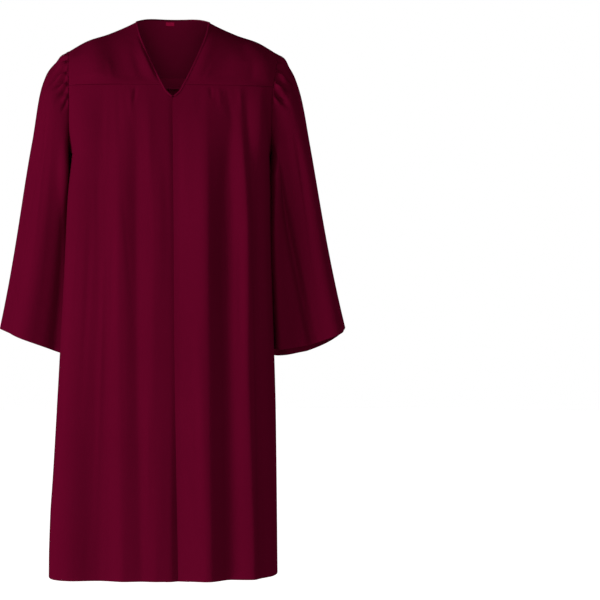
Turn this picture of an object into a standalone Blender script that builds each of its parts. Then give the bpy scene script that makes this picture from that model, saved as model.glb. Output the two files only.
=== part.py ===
"""Choir robe with a V neck, shoulder yokes, pleated fronts, a gathered back and bell sleeves.

The robe stands as it does when it is worn, hollow, with its neck, cuffs and hem open. Sizes are in
metres and +Z is up. The front faces -Y and the wearer's left is +X. The origin lies midway between
the two neck points, where the neck edge meets the shoulder seams. A drop is a distance below it.

Each sewn piece is a wall: a grid of outer points, the same grid moved inward by the cloth's
thickness, and rims that join the two. The grids are worked out from the sizes and tables below.
"""

import math
from typing import NamedTuple

import bmesh
import bpy
import numpy as np

# Cloth and seams
CLOTH = 0.0015
SEAM_GAP = 0.0003

# Neck and shoulders
NECK_HALF = 0.0815
NECK_BACK_DEPTH = 0.070
NECK_BACK_RISE = 0.014
SHOULDER_HALF = 0.230
SHOULDER_DROP = 0.066
SHOULDER_Y = 0.0125

# Turned neck edge: its radius, how far it stands off the edge, and where it starts above the V's point
BINDING_RADIUS = 0.0013
BINDING_STAND = 0.0022
BINDING_START = 0.004
BINDING_TURN = 0.084

# Seams across the body, and the hem
FRONT_SEAM = 0.151
BACK_SEAM = 0.133
BACK_SEAM_RISE = 0.020
BACK_RISE_ENDS = 0.26
V_POINT = 0.1804
UNDERARM = 0.300
LENGTH = 1.226
HEM_SIDE_LIFT = 0.010
HEM_LIFT_WIDTH = 0.070
HEM_LIFT_STARTS = 0.80

# The body's section has a slant where it meets the shoulder, and turns as it falls to meet the side
# seam squarely. Shares are of its half width, and of its depth once it has turned.
SHOULDER_SLANT = math.radians(28)
TURN_STARTS = 0.103
TURNED_DROP = 0.40
FLAT_SHARE_TOP = 0.45
FLAT_SHARE_LOW = 0.62
ROUNDING_TOP = 0.07
ROUNDING_SHARE_LOW = 0.62
SIDE_HOLLOW_WIDTH = 0.034
SEAM_FLAT_WIDTH = 0.030

# The armhole is an ellipse in a plane across the shoulder
ARMHOLE_HALF_HEIGHT = (UNDERARM - SHOULDER_DROP) / 2
ARMHOLE_CENTRE_DROP = (UNDERARM + SHOULDER_DROP) / 2
ARMHOLE_HALF_DEPTH = 0.0875

# The back yoke leans back under the neck edge, and is upright along its top at the shoulders
YOKE_LEAN = math.radians(42)
YOKE_LEAN_ENDS = (0.25, 0.55)

# Gathers open out below their seam
GATHER_AT_SEAM = 0.25
GATHER_OPEN = 0.012
SLEEVE_GATHERS = 9
SLEEVE_GATHER_HEIGHT = 0.0035
SLEEVE_GATHER_DRIFT = 0.2
SLEEVE_GATHER_REACH = 0.16
SLEEVE_GATHER_ENDS = (0.16, 0.25)
HEAD_PUFF = {"right": 0.008, "left": 0.004}
HEAD_PUFF_RISE = (0.08, 0.22)
HEAD_PUFF_FALL = (0.26, 0.50)

# How finely the walls are divided
SECTION_STEPS = 240
COLUMNS_PER_GATHER = 4
FRONT_SIDE_COLUMNS = 8
YOKE_COLUMNS = 12
YOKE_ROWS = 8
BACK_YOKE_SHOULDER_COLUMNS = 9
BACK_YOKE_NECK_COLUMNS = 13
SLEEVE_UPPER_COLUMNS = 36
SLEEVE_LOWER_COLUMNS = 20
FRONT_DROPS = (0.1513, 0.158, 0.167, 0.1804, 0.200, 0.235, 0.270, 0.300, 0.390, 0.540, 0.730, 0.930,
               1.100, 1.226)
BACK_DROPS = (0.1333, 0.140, 0.150, 0.166, 0.190, 0.225, 0.262, 0.300, 0.390, 0.540, 0.730, 0.930,
              1.100, 1.224)
SLEEVE_STATIONS = (0.0, 0.03, 0.07, 0.12, 0.18, 0.26, 0.36, 0.48, 0.62, 0.77, 0.90, 1.0)


class Girth(NamedTuple):
    """The body's section at one drop: how far it reaches forward, back and to each side.

    The cloth hangs in to the side seams, and out again to a fold at the front and one at the back.
    """
    drop: float
    front: float
    back: float
    seam_right: float
    seam_left: float
    front_right: float
    front_left: float
    back_right: float
    back_left: float
    closure: float


GIRTHS = (
    Girth(0.110, 0.096, 0.106, 0.230, 0.230, 0.230, 0.230, 0.230, 0.230, 0.000),
    Girth(0.151, 0.105, 0.117, 0.230, 0.230, 0.230, 0.230, 0.230, 0.230, 0.000),
    Girth(0.220, 0.119, 0.131, 0.230, 0.230, 0.230, 0.230, 0.230, 0.230, 0.000),
    Girth(0.300, 0.129, 0.140, 0.229, 0.229, 0.231, 0.231, 0.230, 0.230, 0.001),
    Girth(0.420, 0.135, 0.146, 0.217, 0.214, 0.247, 0.230, 0.224, 0.222, 0.002),
    Girth(0.730, 0.142, 0.151, 0.212, 0.202, 0.262, 0.236, 0.222, 0.217, 0.004),
    Girth(1.000, 0.147, 0.154, 0.224, 0.200, 0.279, 0.242, 0.236, 0.214, 0.008),
    Girth(1.226, 0.151, 0.157, 0.234, 0.198, 0.288, 0.244, 0.246, 0.208, 0.012),
)


class ShoulderPoint(NamedTuple):
    """A place on the shoulder seam: how far out it lies, and how far below the neck point."""
    out: float
    fall: float


SHOULDER_LINE = (
    ShoulderPoint(0.0000, 0.0000),
    ShoulderPoint(0.0180, 0.0090),
    ShoulderPoint(0.0600, 0.0268),
    ShoulderPoint(0.1115, 0.0446),
    ShoulderPoint(0.1485, 0.0660),
)


class NeckEdge(NamedTuple):
    """The V of the neck: its half width, and how far forward it lies, at one drop."""
    drop: float
    half_width: float
    forward: float


NECK_EDGE = (
    NeckEdge(0.000, 0.0815, 0.000),
    NeckEdge(0.030, 0.0755, 0.036),
    NeckEdge(0.060, 0.0655, 0.061),
    NeckEdge(0.090, 0.0530, 0.079),
    NeckEdge(0.120, 0.0395, 0.093),
    NeckEdge(0.151, 0.0240, 0.105),
    NeckEdge(0.168, 0.0140, 0.109),
    NeckEdge(0.1804, 0.0000, 0.112),
)


class Fold(NamedTuple):
    """A fold that runs down a panel, at distances along the cloth from the centre line.

    Heights above the plain section are given near the yoke, half way down and at the hem, and a
    negative one is a trough. A pressed fold is a step: a ridge on its centre side, then a trough.
    """
    name: str
    from_centre_top: float
    from_centre_hem: float
    width: float
    top: float
    middle: float
    hem: float
    pressed: bool


# Where along the fall, from the front seam to the hem, a fold has those heights
FOLD_LEVELS = (0.0, 0.05, 0.45, 1.0)
FOLD_AT_SEAM = 0.2

FRONT_LEFT_FOLDS = (
    Fold("closure", 0.000, 0.000, 0.012, -0.0005, -0.0025, -0.0090, False),
    Fold("centre_ridge", 0.046, 0.034, 0.020, 0.0010, 0.0020, 0.0050, False),
    Fold("inner_pleat", 0.082, 0.080, 0.009, 0.0018, 0.0055, 0.0070, True),
    Fold("inner_pleat_trough", 0.098, 0.096, 0.013, -0.0020, -0.0070, -0.0100, False),
    Fold("middle_ridge", 0.134, 0.136, 0.016, 0.0015, 0.0060, 0.0080, False),
    Fold("outer_pleat", 0.168, 0.164, 0.008, 0.0015, 0.0045, 0.0060, True),
    Fold("outer_ridge", 0.190, 0.196, 0.010, 0.0005, 0.0040, 0.0070, False),
    Fold("side_trough", 0.207, 0.220, 0.010, -0.0005, -0.0040, -0.0040, False),
)

FRONT_RIGHT_FOLDS = (
    Fold("closure", 0.000, 0.000, 0.014, -0.0005, -0.0025, -0.0090, False),
    Fold("hem_trough", 0.036, 0.039, 0.018, 0.0000, -0.0005, -0.0040, False),
    Fold("centre_ridge", 0.064, 0.074, 0.014, 0.0005, 0.0025, 0.0040, False),
    Fold("inner_pleat", 0.083, 0.100, 0.008, 0.0018, 0.0040, 0.0035, True),
    Fold("inner_pleat_trough", 0.096, 0.112, 0.012, -0.0010, -0.0030, -0.0030, False),
    Fold("middle_ridge", 0.134, 0.160, 0.026, 0.0010, 0.0045, 0.0070, False),
    Fold("outer_pleat", 0.172, 0.200, 0.010, 0.0012, 0.0030, 0.0030, True),
    Fold("side_ridge", 0.210, 0.238, 0.014, 0.0005, 0.0030, 0.0040, False),
)

BACK_LEFT_FOLDS = (
    Fold("centre_trough", 0.037, 0.034, 0.012, -0.0020, -0.0050, -0.0050, False),
    Fold("first_ridge", 0.057, 0.054, 0.009, 0.0015, 0.0045, 0.0045, False),
    Fold("second_ridge", 0.084, 0.080, 0.011, 0.0020, 0.0070, 0.0080, False),
    Fold("second_trough", 0.106, 0.103, 0.009, -0.0015, -0.0045, -0.0045, False),
    Fold("third_ridge", 0.125, 0.120, 0.012, 0.0020, 0.0060, 0.0060, False),
    Fold("deep_trough", 0.166, 0.164, 0.012, -0.0040, -0.0130, -0.0170, False),
    Fold("side_ridge", 0.190, 0.192, 0.012, 0.0020, 0.0060, 0.0060, False),
)

BACK_RIGHT_FOLDS = (
    Fold("centre_ridge", 0.010, 0.012, 0.016, 0.0020, 0.0050, 0.0060, False),
    Fold("deep_trough", 0.036, 0.040, 0.010, -0.0030, -0.0095, -0.0095, False),
    Fold("wide_ridge", 0.088, 0.092, 0.024, 0.0020, 0.0060, 0.0090, False),
    Fold("wide_trough", 0.148, 0.146, 0.024, -0.0010, -0.0055, -0.0080, False),
    Fold("side_ridge", 0.188, 0.186, 0.012, 0.0015, 0.0055, 0.0045, False),
)


class Gather(NamedTuple):
    """The valley of a gather under the back yoke, from -1 at the right armhole to 1 at the left.

    Its depth fades down the cloth, to about a third at its reach.
    """
    across: float
    depth: float
    reach: float


BACK_GATHERS = (
    Gather(-0.838, 0.0020, 0.030),
    Gather(-0.737, 0.0025, 0.035),
    Gather(-0.644, 0.0022, 0.050),
    Gather(-0.552, 0.0020, 0.025),
    Gather(-0.433, 0.0017, 0.060),
    Gather(-0.377, 0.0017, 0.045),
    Gather(-0.267, 0.0020, 0.030),
    Gather(-0.193, 0.0022, 0.055),
    Gather(-0.092, 0.0024, 0.090),
    Gather(-0.018, 0.0020, 0.040),
    Gather(0.054, 0.0015, 0.025),
    Gather(0.166, 0.0020, 0.080),
    Gather(0.230, 0.0016, 0.030),
    Gather(0.304, 0.0022, 0.050),
    Gather(0.396, 0.0016, 0.060),
    Gather(0.442, 0.0015, 0.045),
    Gather(0.515, 0.0013, 0.030),
    Gather(0.560, 0.0013, 0.045),
    Gather(0.654, 0.0022, 0.100),
    Gather(0.718, 0.0017, 0.040),
    Gather(0.773, 0.0017, 0.055),
    Gather(0.838, 0.0020, 0.030),
)

# Distances from the centre front of the columns that hold the pressed pleats
PLEAT_COLUMNS = np.concatenate((
    np.linspace(0.000, 0.066, 6, endpoint=False),
    np.linspace(0.066, 0.106, 7, endpoint=False),
    np.linspace(0.106, 0.156, 4, endpoint=False),
    np.linspace(0.156, 0.184, 5),
))
NECK_CUT_COLUMN = 6
PLEAT_SPREAD = {"right": 1.20, "left": 1.02}


class Cuff(NamedTuple):
    """A cuff's ring: its centre, and how far it reaches outward, up, forward and back."""
    out: float
    back: float
    drop: float
    half_width: float
    outer_lift: float
    front: float
    rear: float
    rear_drop: float


CUFFS = {
    "right": Cuff(0.304, 0.034, 0.712, 0.080, 0.029, 0.074, 0.080, 0.006),
    "left": Cuff(0.308, 0.034, 0.710, 0.082, 0.027, 0.074, 0.080, 0.034),
}


class Handle(NamedTuple):
    """A sleeve curve's handle: outward, forward and up, with what the top and the underarm add."""
    out: float
    out_top: float
    out_under: float
    forward: float
    up: float
    up_top: float
    up_under: float


HEAD_LEAVE = {
    "right": Handle(0.045, 0.040, -0.025, -0.012, -0.075, 0.025, -0.050),
    "left": Handle(0.045, 0.033, -0.025, -0.012, -0.075, 0.025, -0.050),
}
CUFF_ARRIVE = {
    "right": Handle(0.045, 0.026, -0.040, -0.006, -0.330, 0.000, 0.000),
    "left": Handle(0.045, 0.037, -0.040, -0.006, -0.330, 0.000, 0.000),
}


class SleeveFold(NamedTuple):
    """A fold down a sleeve, placed by turns round it: 0 is the top, 0.25 the front, 0.5 the underarm."""
    name: str
    turn_head: float
    turn_cuff: float
    width: float
    head: float
    middle: float
    cuff: float


# Where along a sleeve, from its head to its cuff, a fold has those heights
SLEEVE_FOLD_LEVELS = (0.0, 0.15, 0.6, 1.0)

SLEEVE_FOLDS = {
    "right": (
        SleeveFold("inner_trough", 0.40, 0.36, 0.045, 0.000, -0.008, -0.013),
        SleeveFold("front_ridge", 0.22, 0.22, 0.050, 0.000, 0.003, 0.006),
        SleeveFold("outer_edge", 0.06, 0.04, 0.030, 0.000, 0.003, 0.003),
        SleeveFold("rear_trough", 0.64, 0.68, 0.040, 0.000, -0.006, -0.010),
        SleeveFold("rear_ridge", 0.80, 0.80, 0.050, 0.000, 0.003, 0.006),
    ),
    "left": (
        SleeveFold("front_trough", 0.42, 0.27, 0.028, 0.000, -0.012, -0.020),
        SleeveFold("front_ridge", 0.26, 0.18, 0.045, 0.000, 0.005, 0.006),
        SleeveFold("outer_trough", 0.12, 0.09, 0.030, 0.000, -0.002, -0.003),
        SleeveFold("rear_trough", 0.64, 0.66, 0.040, 0.000, -0.007, -0.012),
        SleeveFold("rear_ridge", 0.82, 0.80, 0.050, 0.000, 0.003, 0.006),
    ),
}

# Size label inside the back neck, left bare
LABEL_WIDTH = 0.0193
LABEL_HEIGHT = 0.0115
LABEL_CENTRE_X = -0.0067
LABEL_BELOW_EDGE = 0.005
LABEL_THICKNESS = 0.001

# Roughly which way each side of the yokes faces
FRONT_FACING = np.array((0.0, -0.8, 0.6))
BACK_FACING = np.array((0.0, 0.8, 0.6))

# Material colours and finish
MAROON = (0.080, 0.002, 0.014, 1.0)
LABEL_RED = (0.300, 0.004, 0.040, 1.0)
CLOTH_ROUGHNESS = 0.75


def table_column(table, name, at):
    """A table's column at any value of its first column, the rows joined by smooth Hermite curves."""
    rows = np.array([row[0] for row in table])
    values = np.array([getattr(row, name) for row in table])
    slopes = np.gradient(values, rows)
    at = np.clip(at, rows[0], rows[-1])
    index = np.clip(np.searchsorted(rows, at) - 1, 0, len(rows) - 2)
    span = rows[index + 1] - rows[index]
    t = (at - rows[index]) / span
    start = (1 + 2 * t) * (1 - t) ** 2 * values[index] + t * (1 - t) ** 2 * span * slopes[index]
    end = t * t * (3 - 2 * t) * values[index + 1] - t * t * (1 - t) * span * slopes[index + 1]
    return start + end


def ramp(low, high, value):
    """A smooth step from 0 at low to 1 at high."""
    t = np.clip((value - low) / (high - low), 0.0, 1.0)
    return t * t * (3 - 2 * t)


def armhole_reach(drop):
    """Half the armhole's depth from front to back at a drop, from its ellipse."""
    level = np.clip((drop - ARMHOLE_CENTRE_DROP) / ARMHOLE_HALF_HEIGHT, -1.0, 1.0)
    return ARMHOLE_HALF_DEPTH * np.sqrt(1 - level ** 2)


def section_curves(face, side, drops):
    """The plain section from the centre line to the armhole or side seam, one row for each drop.

    In plan it is a cubic Bezier curve that leaves the centre line squarely. It meets the armhole at
    a slant near the shoulder, and runs straight back at the side seam.
    """
    drops = np.asarray(drops)
    outward = 1.0 if side == "left" else -1.0
    forward = -1.0 if face == "front" else 1.0
    centre_y = forward * table_column(GIRTHS, face, drops)
    in_armhole = drops < UNDERARM
    end_x = np.where(in_armhole, SHOULDER_HALF, table_column(GIRTHS, f"{face}_{side}", drops))
    reach = np.where(in_armhole, armhole_reach(drops), 0.0)
    end_y = SHOULDER_Y + forward * np.maximum(reach, SEAM_GAP / 2)
    turned = ramp(TURN_STARTS, TURNED_DROP, drops)
    slant = SHOULDER_SLANT + (math.radians(90) - SHOULDER_SLANT) * turned
    first = end_x * (FLAT_SHARE_TOP + (FLAT_SHARE_LOW - FLAT_SHARE_TOP) * turned)
    rounding_low = ROUNDING_SHARE_LOW * (np.abs(centre_y) + SHOULDER_Y)
    last = ROUNDING_TOP + (rounding_low - ROUNDING_TOP) * turned
    t = np.linspace(0, 1, SECTION_STEPS)[None, :]
    weights = ((1 - t) ** 3, 3 * t * (1 - t) ** 2, 3 * t * t * (1 - t), t ** 3)
    xs = (0 * end_x, first, end_x - last * np.cos(slant), end_x)
    ys = (centre_y, centre_y, end_y + forward * last * np.sin(slant), end_y)
    x = sum(weight * value[:, None] for weight, value in zip(weights, xs))
    y = sum(weight * value[:, None] for weight, value in zip(weights, ys))
    return outward * x, y


def running_lengths(x, y):
    """Distances along each row of plan curves, from the row's first point."""
    steps = np.hypot(np.diff(x, axis=1), np.diff(y, axis=1))
    return np.concatenate((np.zeros((len(x), 1)), np.cumsum(steps, axis=1)), axis=1)


def section_lengths(face, side, drops):
    """How long each plain section is."""
    return running_lengths(*section_curves(face, side, drops))[:, -1]


def read_rows(distances, lengths, values):
    """Each row's values read at that row's distances."""
    return np.stack([np.interp(*row) for row in zip(distances, lengths, values)])


def fold_height(folds, distance, drops):
    """How far the folds lift the cloth off its plain section, for rows of distances."""
    fall = (drops - FRONT_SEAM) / (LENGTH - FRONT_SEAM)
    height = np.zeros_like(distance)
    for fold in folds:
        centre = fold.from_centre_top + (fold.from_centre_hem - fold.from_centre_top) * fall
        size = np.interp(fall, FOLD_LEVELS, (FOLD_AT_SEAM * fold.top, fold.top, fold.middle, fold.hem))
        offset = (distance - centre[:, None]) / fold.width
        if fold.pressed:
            shape = -offset * np.exp((1 - offset ** 2) / 2)
        else:
            shape = np.exp(-offset ** 2)
        height += size[:, None] * shape
    return height


def gather_phases():
    """Places across the back, and the count of valleys up to each: whole numbers are valleys."""
    places = np.array((-1.0, *(gather.across for gather in BACK_GATHERS), 1.0))
    return places, np.arange(len(places), dtype=float)


def gather_height(across, below):
    """Gathers under the back yoke: waves with a valley at each place in the table, fading down."""
    phase = np.interp(across, *gather_phases())
    places = [gather.across for gather in BACK_GATHERS]
    depth = np.interp(across, places, [gather.depth for gather in BACK_GATHERS])
    reach = np.interp(across, places, [gather.reach for gather in BACK_GATHERS])
    opened = GATHER_AT_SEAM + (1 - GATHER_AT_SEAM) * ramp(0.0, GATHER_OPEN, below)
    return -depth * opened * np.exp(-(below / reach) ** 2) * np.cos(2 * math.pi * phase)


def plan_normals(points):
    """Unit vectors across each row in plan, at right angles to the folded section."""
    along = np.gradient(points, axis=1)
    normal = np.stack((-along[..., 1], along[..., 0], np.zeros(along.shape[:2])), axis=-1)
    return normal / np.linalg.norm(normal, axis=-1, keepdims=True)


def hang(face, side, drops, distances, folds, extra=0.0):
    """Outer points of a half panel: the plain section, lifted by its folds and hollowed at the side."""
    x, y = section_curves(face, side, drops)
    lengths = running_lengths(x, y)
    along_x = np.gradient(x, axis=1)
    along_y = np.gradient(y, axis=1)
    speed = np.hypot(along_x, along_y)
    sign = 1.0 if (face == "front") == (side == "left") else -1.0
    normal_x = sign * read_rows(distances, lengths, along_y / speed)
    normal_y = -sign * read_rows(distances, lengths, along_x / speed)
    from_side = lengths[:, -1:] - distances
    fold_out = table_column(GIRTHS, f"{face}_{side}", drops) - table_column(GIRTHS, f"seam_{side}", drops)
    hollow_depth = np.where(drops < UNDERARM, 0.0, fold_out)[:, None]
    hollow = hollow_depth * np.exp(-(from_side / SIDE_HOLLOW_WIDTH) ** 2)
    seam_free = ramp(0.0, SEAM_FLAT_WIDTH, from_side)
    height = (fold_height(folds, distances, drops) + extra) * seam_free - hollow
    px = read_rows(distances, lengths, x) + normal_x * height
    plain_y = read_rows(distances, lengths, y)
    py = plain_y + normal_y * height
    py[:, -1] = plain_y[:, -1]
    if face == "front":
        closure = table_column(GIRTHS, "closure", drops)[:, None]
        px = px + closure * np.clip(1 - np.abs(px) / SHOULDER_HALF, 0, 1)
    near_side = np.exp(-(from_side / HEM_LIFT_WIDTH) ** 2)
    lift = HEM_SIDE_LIFT * near_side * ramp(HEM_LIFT_STARTS, LENGTH, drops)[:, None]
    return np.stack((px, py, lift - drops[:, None]), axis=-1)


def front_panel(side):
    """A pleated front, from the closure to the side seam, cut away at the neck and the armhole."""
    outward = 1.0 if side == "left" else -1.0
    drops = np.array(FRONT_DROPS)
    spread = 1 + (PLEAT_SPREAD[side] - 1) * ramp(FRONT_SEAM, LENGTH, drops)
    pleats = PLEAT_COLUMNS[None, :] * spread[:, None]
    lengths = section_lengths("front", side, drops)
    share = np.linspace(0, 1, FRONT_SIDE_COLUMNS + 1)[None, 1:]
    sides = pleats[:, -1:] + (lengths[:, None] - pleats[:, -1:]) * share
    distances = np.concatenate((pleats, sides), axis=1)
    cut = np.where(drops < V_POINT, table_column(NECK_EDGE, "half_width", drops), 0.0)[:, None]
    cut = np.maximum(cut, SEAM_GAP / 2)
    distances = distances + cut * np.clip(1 - distances / PLEAT_COLUMNS[NECK_CUT_COLUMN], 0, 1)
    folds = FRONT_LEFT_FOLDS if side == "left" else FRONT_RIGHT_FOLDS
    outer = hang("front", side, drops, distances, folds)
    inward = plan_normals(outer) * outward
    inward[0] = (0.0, 1.0, 0.0)
    inward[:, 0] = (0.0, 1.0, 0.0)
    inward[drops >= UNDERARM, -1] = (-outward, 0.0, 0.0)
    return outer, outer + CLOTH * inward


def back_seam_rise(x, drops):
    """How much higher than at the armhole the back yoke's seam lies, fading below it."""
    rise = BACK_SEAM_RISE * np.clip(1 - (x / SHOULDER_HALF) ** 2, 0, 1)
    return rise * (1 - ramp(BACK_SEAM, BACK_RISE_ENDS, drops))


def back_panel():
    """The gathered back, from one side seam to the other in one piece, four columns to a gather."""
    drops = np.array(BACK_DROPS)
    places, phases = gather_phases()
    columns = np.interp(np.arange(phases[-1] * COLUMNS_PER_GATHER + 1) / COLUMNS_PER_GATHER, phases, places)
    middle = np.abs(columns).argmin()
    columns[middle] = 0.0
    halves = []
    for side, folds, across in (
        ("right", BACK_RIGHT_FOLDS, columns[middle::-1]),
        ("left", BACK_LEFT_FOLDS, columns[middle:]),
    ):
        distances = section_lengths("back", side, drops)[:, None] * np.abs(across)
        gathers = gather_height(across, drops[:, None] - BACK_SEAM)
        halves.append(hang("back", side, drops, distances, folds, gathers))
    centre = 0.5 * (halves[0][:, :1] + halves[1][:, :1])
    outer = np.concatenate((halves[0][:, :0:-1], centre, halves[1][:, 1:]), axis=1)
    outer[..., 2] += back_seam_rise(outer[..., 0], drops[:, None])
    inward = -plan_normals(outer)
    inward[0] = (0.0, -1.0, 0.0)
    inward[drops >= UNDERARM, 0] = (1.0, 0.0, 0.0)
    inward[drops >= UNDERARM, -1] = (-1.0, 0.0, 0.0)
    return outer, outer + CLOTH * inward


def shoulder_line(x):
    """The shoulder seam at a distance from the centre: its y and z, with the neck's edge inside it."""
    x = np.abs(x)
    along = np.clip((x - NECK_HALF) / (SHOULDER_HALF - NECK_HALF), 0, 1)
    across = np.clip(x / NECK_HALF, 0, 1)
    y = np.where(x < NECK_HALF, NECK_BACK_DEPTH * (1 - across ** 2.4), SHOULDER_Y * along)
    fall = table_column(SHOULDER_LINE, "fall", x - NECK_HALF)
    z = np.where(x < NECK_HALF, NECK_BACK_RISE * (1 - across ** 4), -fall)
    return y, z


def seam_y(face, x):
    """Where a yoke's lower seam lies in front of or behind the origin, at a distance from the centre."""
    drop = FRONT_SEAM if face == "front" else BACK_SEAM
    curve_x, curve_y = section_curves(face, "left", (drop,))
    return np.interp(np.abs(x), curve_x[0], curve_y[0])


def arch(low, high, start_angle, end_angle, t):
    """An arc of an ellipse from a low point to a high one: its y and z at shares t of the way."""
    angle = start_angle + (end_angle - start_angle) * t
    share_y = (np.sin(start_angle) - np.sin(angle)) / (np.sin(start_angle) - np.sin(end_angle))
    share_z = (np.cos(angle) - np.cos(start_angle)) / (np.cos(end_angle) - np.cos(start_angle))
    return low[0] + (high[0] - low[0]) * share_y, low[1] + (high[1] - low[1]) * share_z


def armhole_angle(drop):
    """The angle round the armhole's ellipse, from its top, of a drop."""
    return np.arccos((ARMHOLE_CENTRE_DROP - drop) / ARMHOLE_HALF_HEIGHT)


def front_yoke_arch(a, b):
    """The arch of a front yoke from its seam to the shoulder seam: its y and z."""
    low_x = (1 - a) * table_column(NECK_EDGE, "half_width", FRONT_SEAM) + a * SHOULDER_HALF
    high_x = (1 - a) * NECK_HALF + a * SHOULDER_HALF
    low = (seam_y("front", low_x), -FRONT_SEAM)
    return arch(low, shoulder_line(high_x), armhole_angle(FRONT_SEAM), 0.0, b)


def front_yoke_points(side, a, b):
    """A front yoke's outer surface: a runs from the V to the armhole, b from its seam to the shoulder.

    It is an arch at each a, and near the V it is drawn to the neck edge.
    """
    outward = 1.0 if side == "left" else -1.0
    v_drop = FRONT_SEAM * (1 - b)
    v_x = table_column(NECK_EDGE, "half_width", v_drop)
    v_y = -table_column(NECK_EDGE, "forward", v_drop)
    y, z = front_yoke_arch(a, b)
    edge_y, edge_z = front_yoke_arch(0 * a, b)
    near = (1 - a) ** 3
    x = (1 - a) * v_x + a * SHOULDER_HALF
    shoulder_y = SHOULDER_Y * a
    y = np.minimum(y + near * (v_y - edge_y), shoulder_y - SEAM_GAP / 2)
    return np.stack((outward * x, y, z + near * (-v_drop - edge_z)), axis=-1)


def back_yoke_points(a, b):
    """The back yoke's outer surface: a runs across from -1 to 1, b from its seam to the neck edge."""
    x = a * SHOULDER_HALF
    low_z = -BACK_SEAM + back_seam_rise(x, BACK_SEAM)
    high_y, high_z = shoulder_line(x)
    start = armhole_angle(BACK_SEAM)
    end = YOKE_LEAN * (1 - ramp(*YOKE_LEAN_ENDS, np.abs(a)))
    y, z = arch((seam_y("back", x), low_z), (high_y, high_z), start, end, b)
    return np.stack((x + 0 * b, np.maximum(y, high_y + SEAM_GAP / 2), z), axis=-1)


def surface_inward(points, outward_hint):
    """Unit normals of a grid, turned away from a hinted outward direction."""
    along = np.gradient(points, axis=1)
    up = np.gradient(points, axis=0)
    normal = np.cross(along, up)
    normal /= np.linalg.norm(normal, axis=-1, keepdims=True)
    facing = np.sum(normal * outward_hint, axis=-1, keepdims=True)
    return np.where(facing > 0, -normal, normal)


def flattened(vectors, axis):
    """Vectors with one component taken out, at unit length again."""
    kept = vectors.copy()
    kept[..., axis] = 0.0
    return kept / np.linalg.norm(kept, axis=-1, keepdims=True)


def front_yoke(side):
    """A front yoke, from its seam over the chest up to the shoulder seam."""
    a, b = np.meshgrid(np.linspace(0, 1, YOKE_COLUMNS + 1), np.linspace(0, 1, YOKE_ROWS + 1))
    outer = front_yoke_points(side, a, b)
    inward = surface_inward(outer, FRONT_FACING)
    inward[:, 0] = flattened(inward[:, 0], 0)
    inward[-1] = flattened(inward[-1], 1)
    inward[0] = (0.0, 1.0, 0.0)
    return outer, outer + CLOTH * inward


def back_yoke():
    """The back yoke, in one piece from armhole to armhole."""
    neck_share = NECK_HALF / SHOULDER_HALF
    shoulder = np.linspace(neck_share, 1, BACK_YOKE_SHOULDER_COLUMNS)
    neck = np.linspace(-neck_share, neck_share, BACK_YOKE_NECK_COLUMNS)
    columns = np.concatenate((-shoulder[::-1], neck[1:-1], shoulder))
    a, b = np.meshgrid(columns, np.linspace(0, 1, YOKE_ROWS + 1))
    outer = back_yoke_points(a, b)
    inward = surface_inward(outer, BACK_FACING)
    shoulders = np.abs(columns) >= neck_share
    inward[-1, shoulders] = flattened(inward[-1, shoulders], 1)
    inward[0] = (0.0, -1.0, 0.0)
    return outer, outer + CLOTH * inward


def sleeve_points(side, turns, stations):
    """A sleeve's outer surface: each turn round it is a cubic Bezier curve from armhole to cuff."""
    cuff = CUFFS[side]
    head_handle = HEAD_LEAVE[side]
    cuff_handle = CUFF_ARRIVE[side]
    angle = 2 * math.pi * turns
    top = np.cos(angle)
    fore = np.sin(angle)
    upper = np.clip(top, 0, 1)
    lower = np.clip(-top, 0, 1)
    head = np.stack((
        0 * top + SHOULDER_HALF + SEAM_GAP,
        SHOULDER_Y - ARMHOLE_HALF_DEPTH * fore,
        -ARMHOLE_CENTRE_DROP + ARMHOLE_HALF_HEIGHT * top,
    ), axis=-1)
    ring_depth = np.where(fore > 0, cuff.front, cuff.rear)
    end = np.stack((
        cuff.out + cuff.half_width * top,
        cuff.back - ring_depth * fore,
        -cuff.drop + cuff.outer_lift * top - cuff.rear_drop * np.clip(-fore, 0, 1),
    ), axis=-1)
    leave, arrive = (
        np.stack((
            handle.out + handle.out_top * upper + handle.out_under * lower,
            handle.forward * fore,
            handle.up + handle.up_top * upper + handle.up_under * lower,
        ), axis=-1)
        for handle in (head_handle, cuff_handle)
    )
    t = stations
    curve = ((1 - t) ** 3)[..., None] * head + (3 * t * (1 - t) ** 2)[..., None] * (head + leave)
    return curve + (3 * t * t * (1 - t))[..., None] * (end - arrive) + (t ** 3)[..., None] * end


def sleeve_fold_height(side, turns, stations):
    """Folds down a sleeve, and the gathers and the puff at its head."""
    height = np.zeros_like(turns)
    for fold in SLEEVE_FOLDS[side]:
        centre = fold.turn_head + (fold.turn_cuff - fold.turn_head) * stations
        size = np.interp(stations, SLEEVE_FOLD_LEVELS, (0.0, fold.head, fold.middle, fold.cuff))
        offset = (turns - centre + 0.5) % 1.0 - 0.5
        height += size * np.exp(-(offset / fold.width) ** 2)
    from_top = (turns + 0.5) % 1.0 - 0.5
    window = 1 - ramp(*SLEEVE_GATHER_ENDS, np.abs(from_top))
    phase = 2 * SLEEVE_GATHERS * from_top + SLEEVE_GATHER_DRIFT * np.sin(6 * math.pi * from_top)
    opened = GATHER_AT_SEAM + (1 - GATHER_AT_SEAM) * ramp(0.0, SLEEVE_STATIONS[1], stations)
    size = SLEEVE_GATHER_HEIGHT * opened * np.exp(-(stations / SLEEVE_GATHER_REACH) ** 2)
    waves = -size * np.cos(2 * math.pi * phase)
    puff = HEAD_PUFF[side] * ramp(*HEAD_PUFF_RISE, stations) * (1 - ramp(*HEAD_PUFF_FALL, stations))
    return height + window * (waves + puff)


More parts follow.
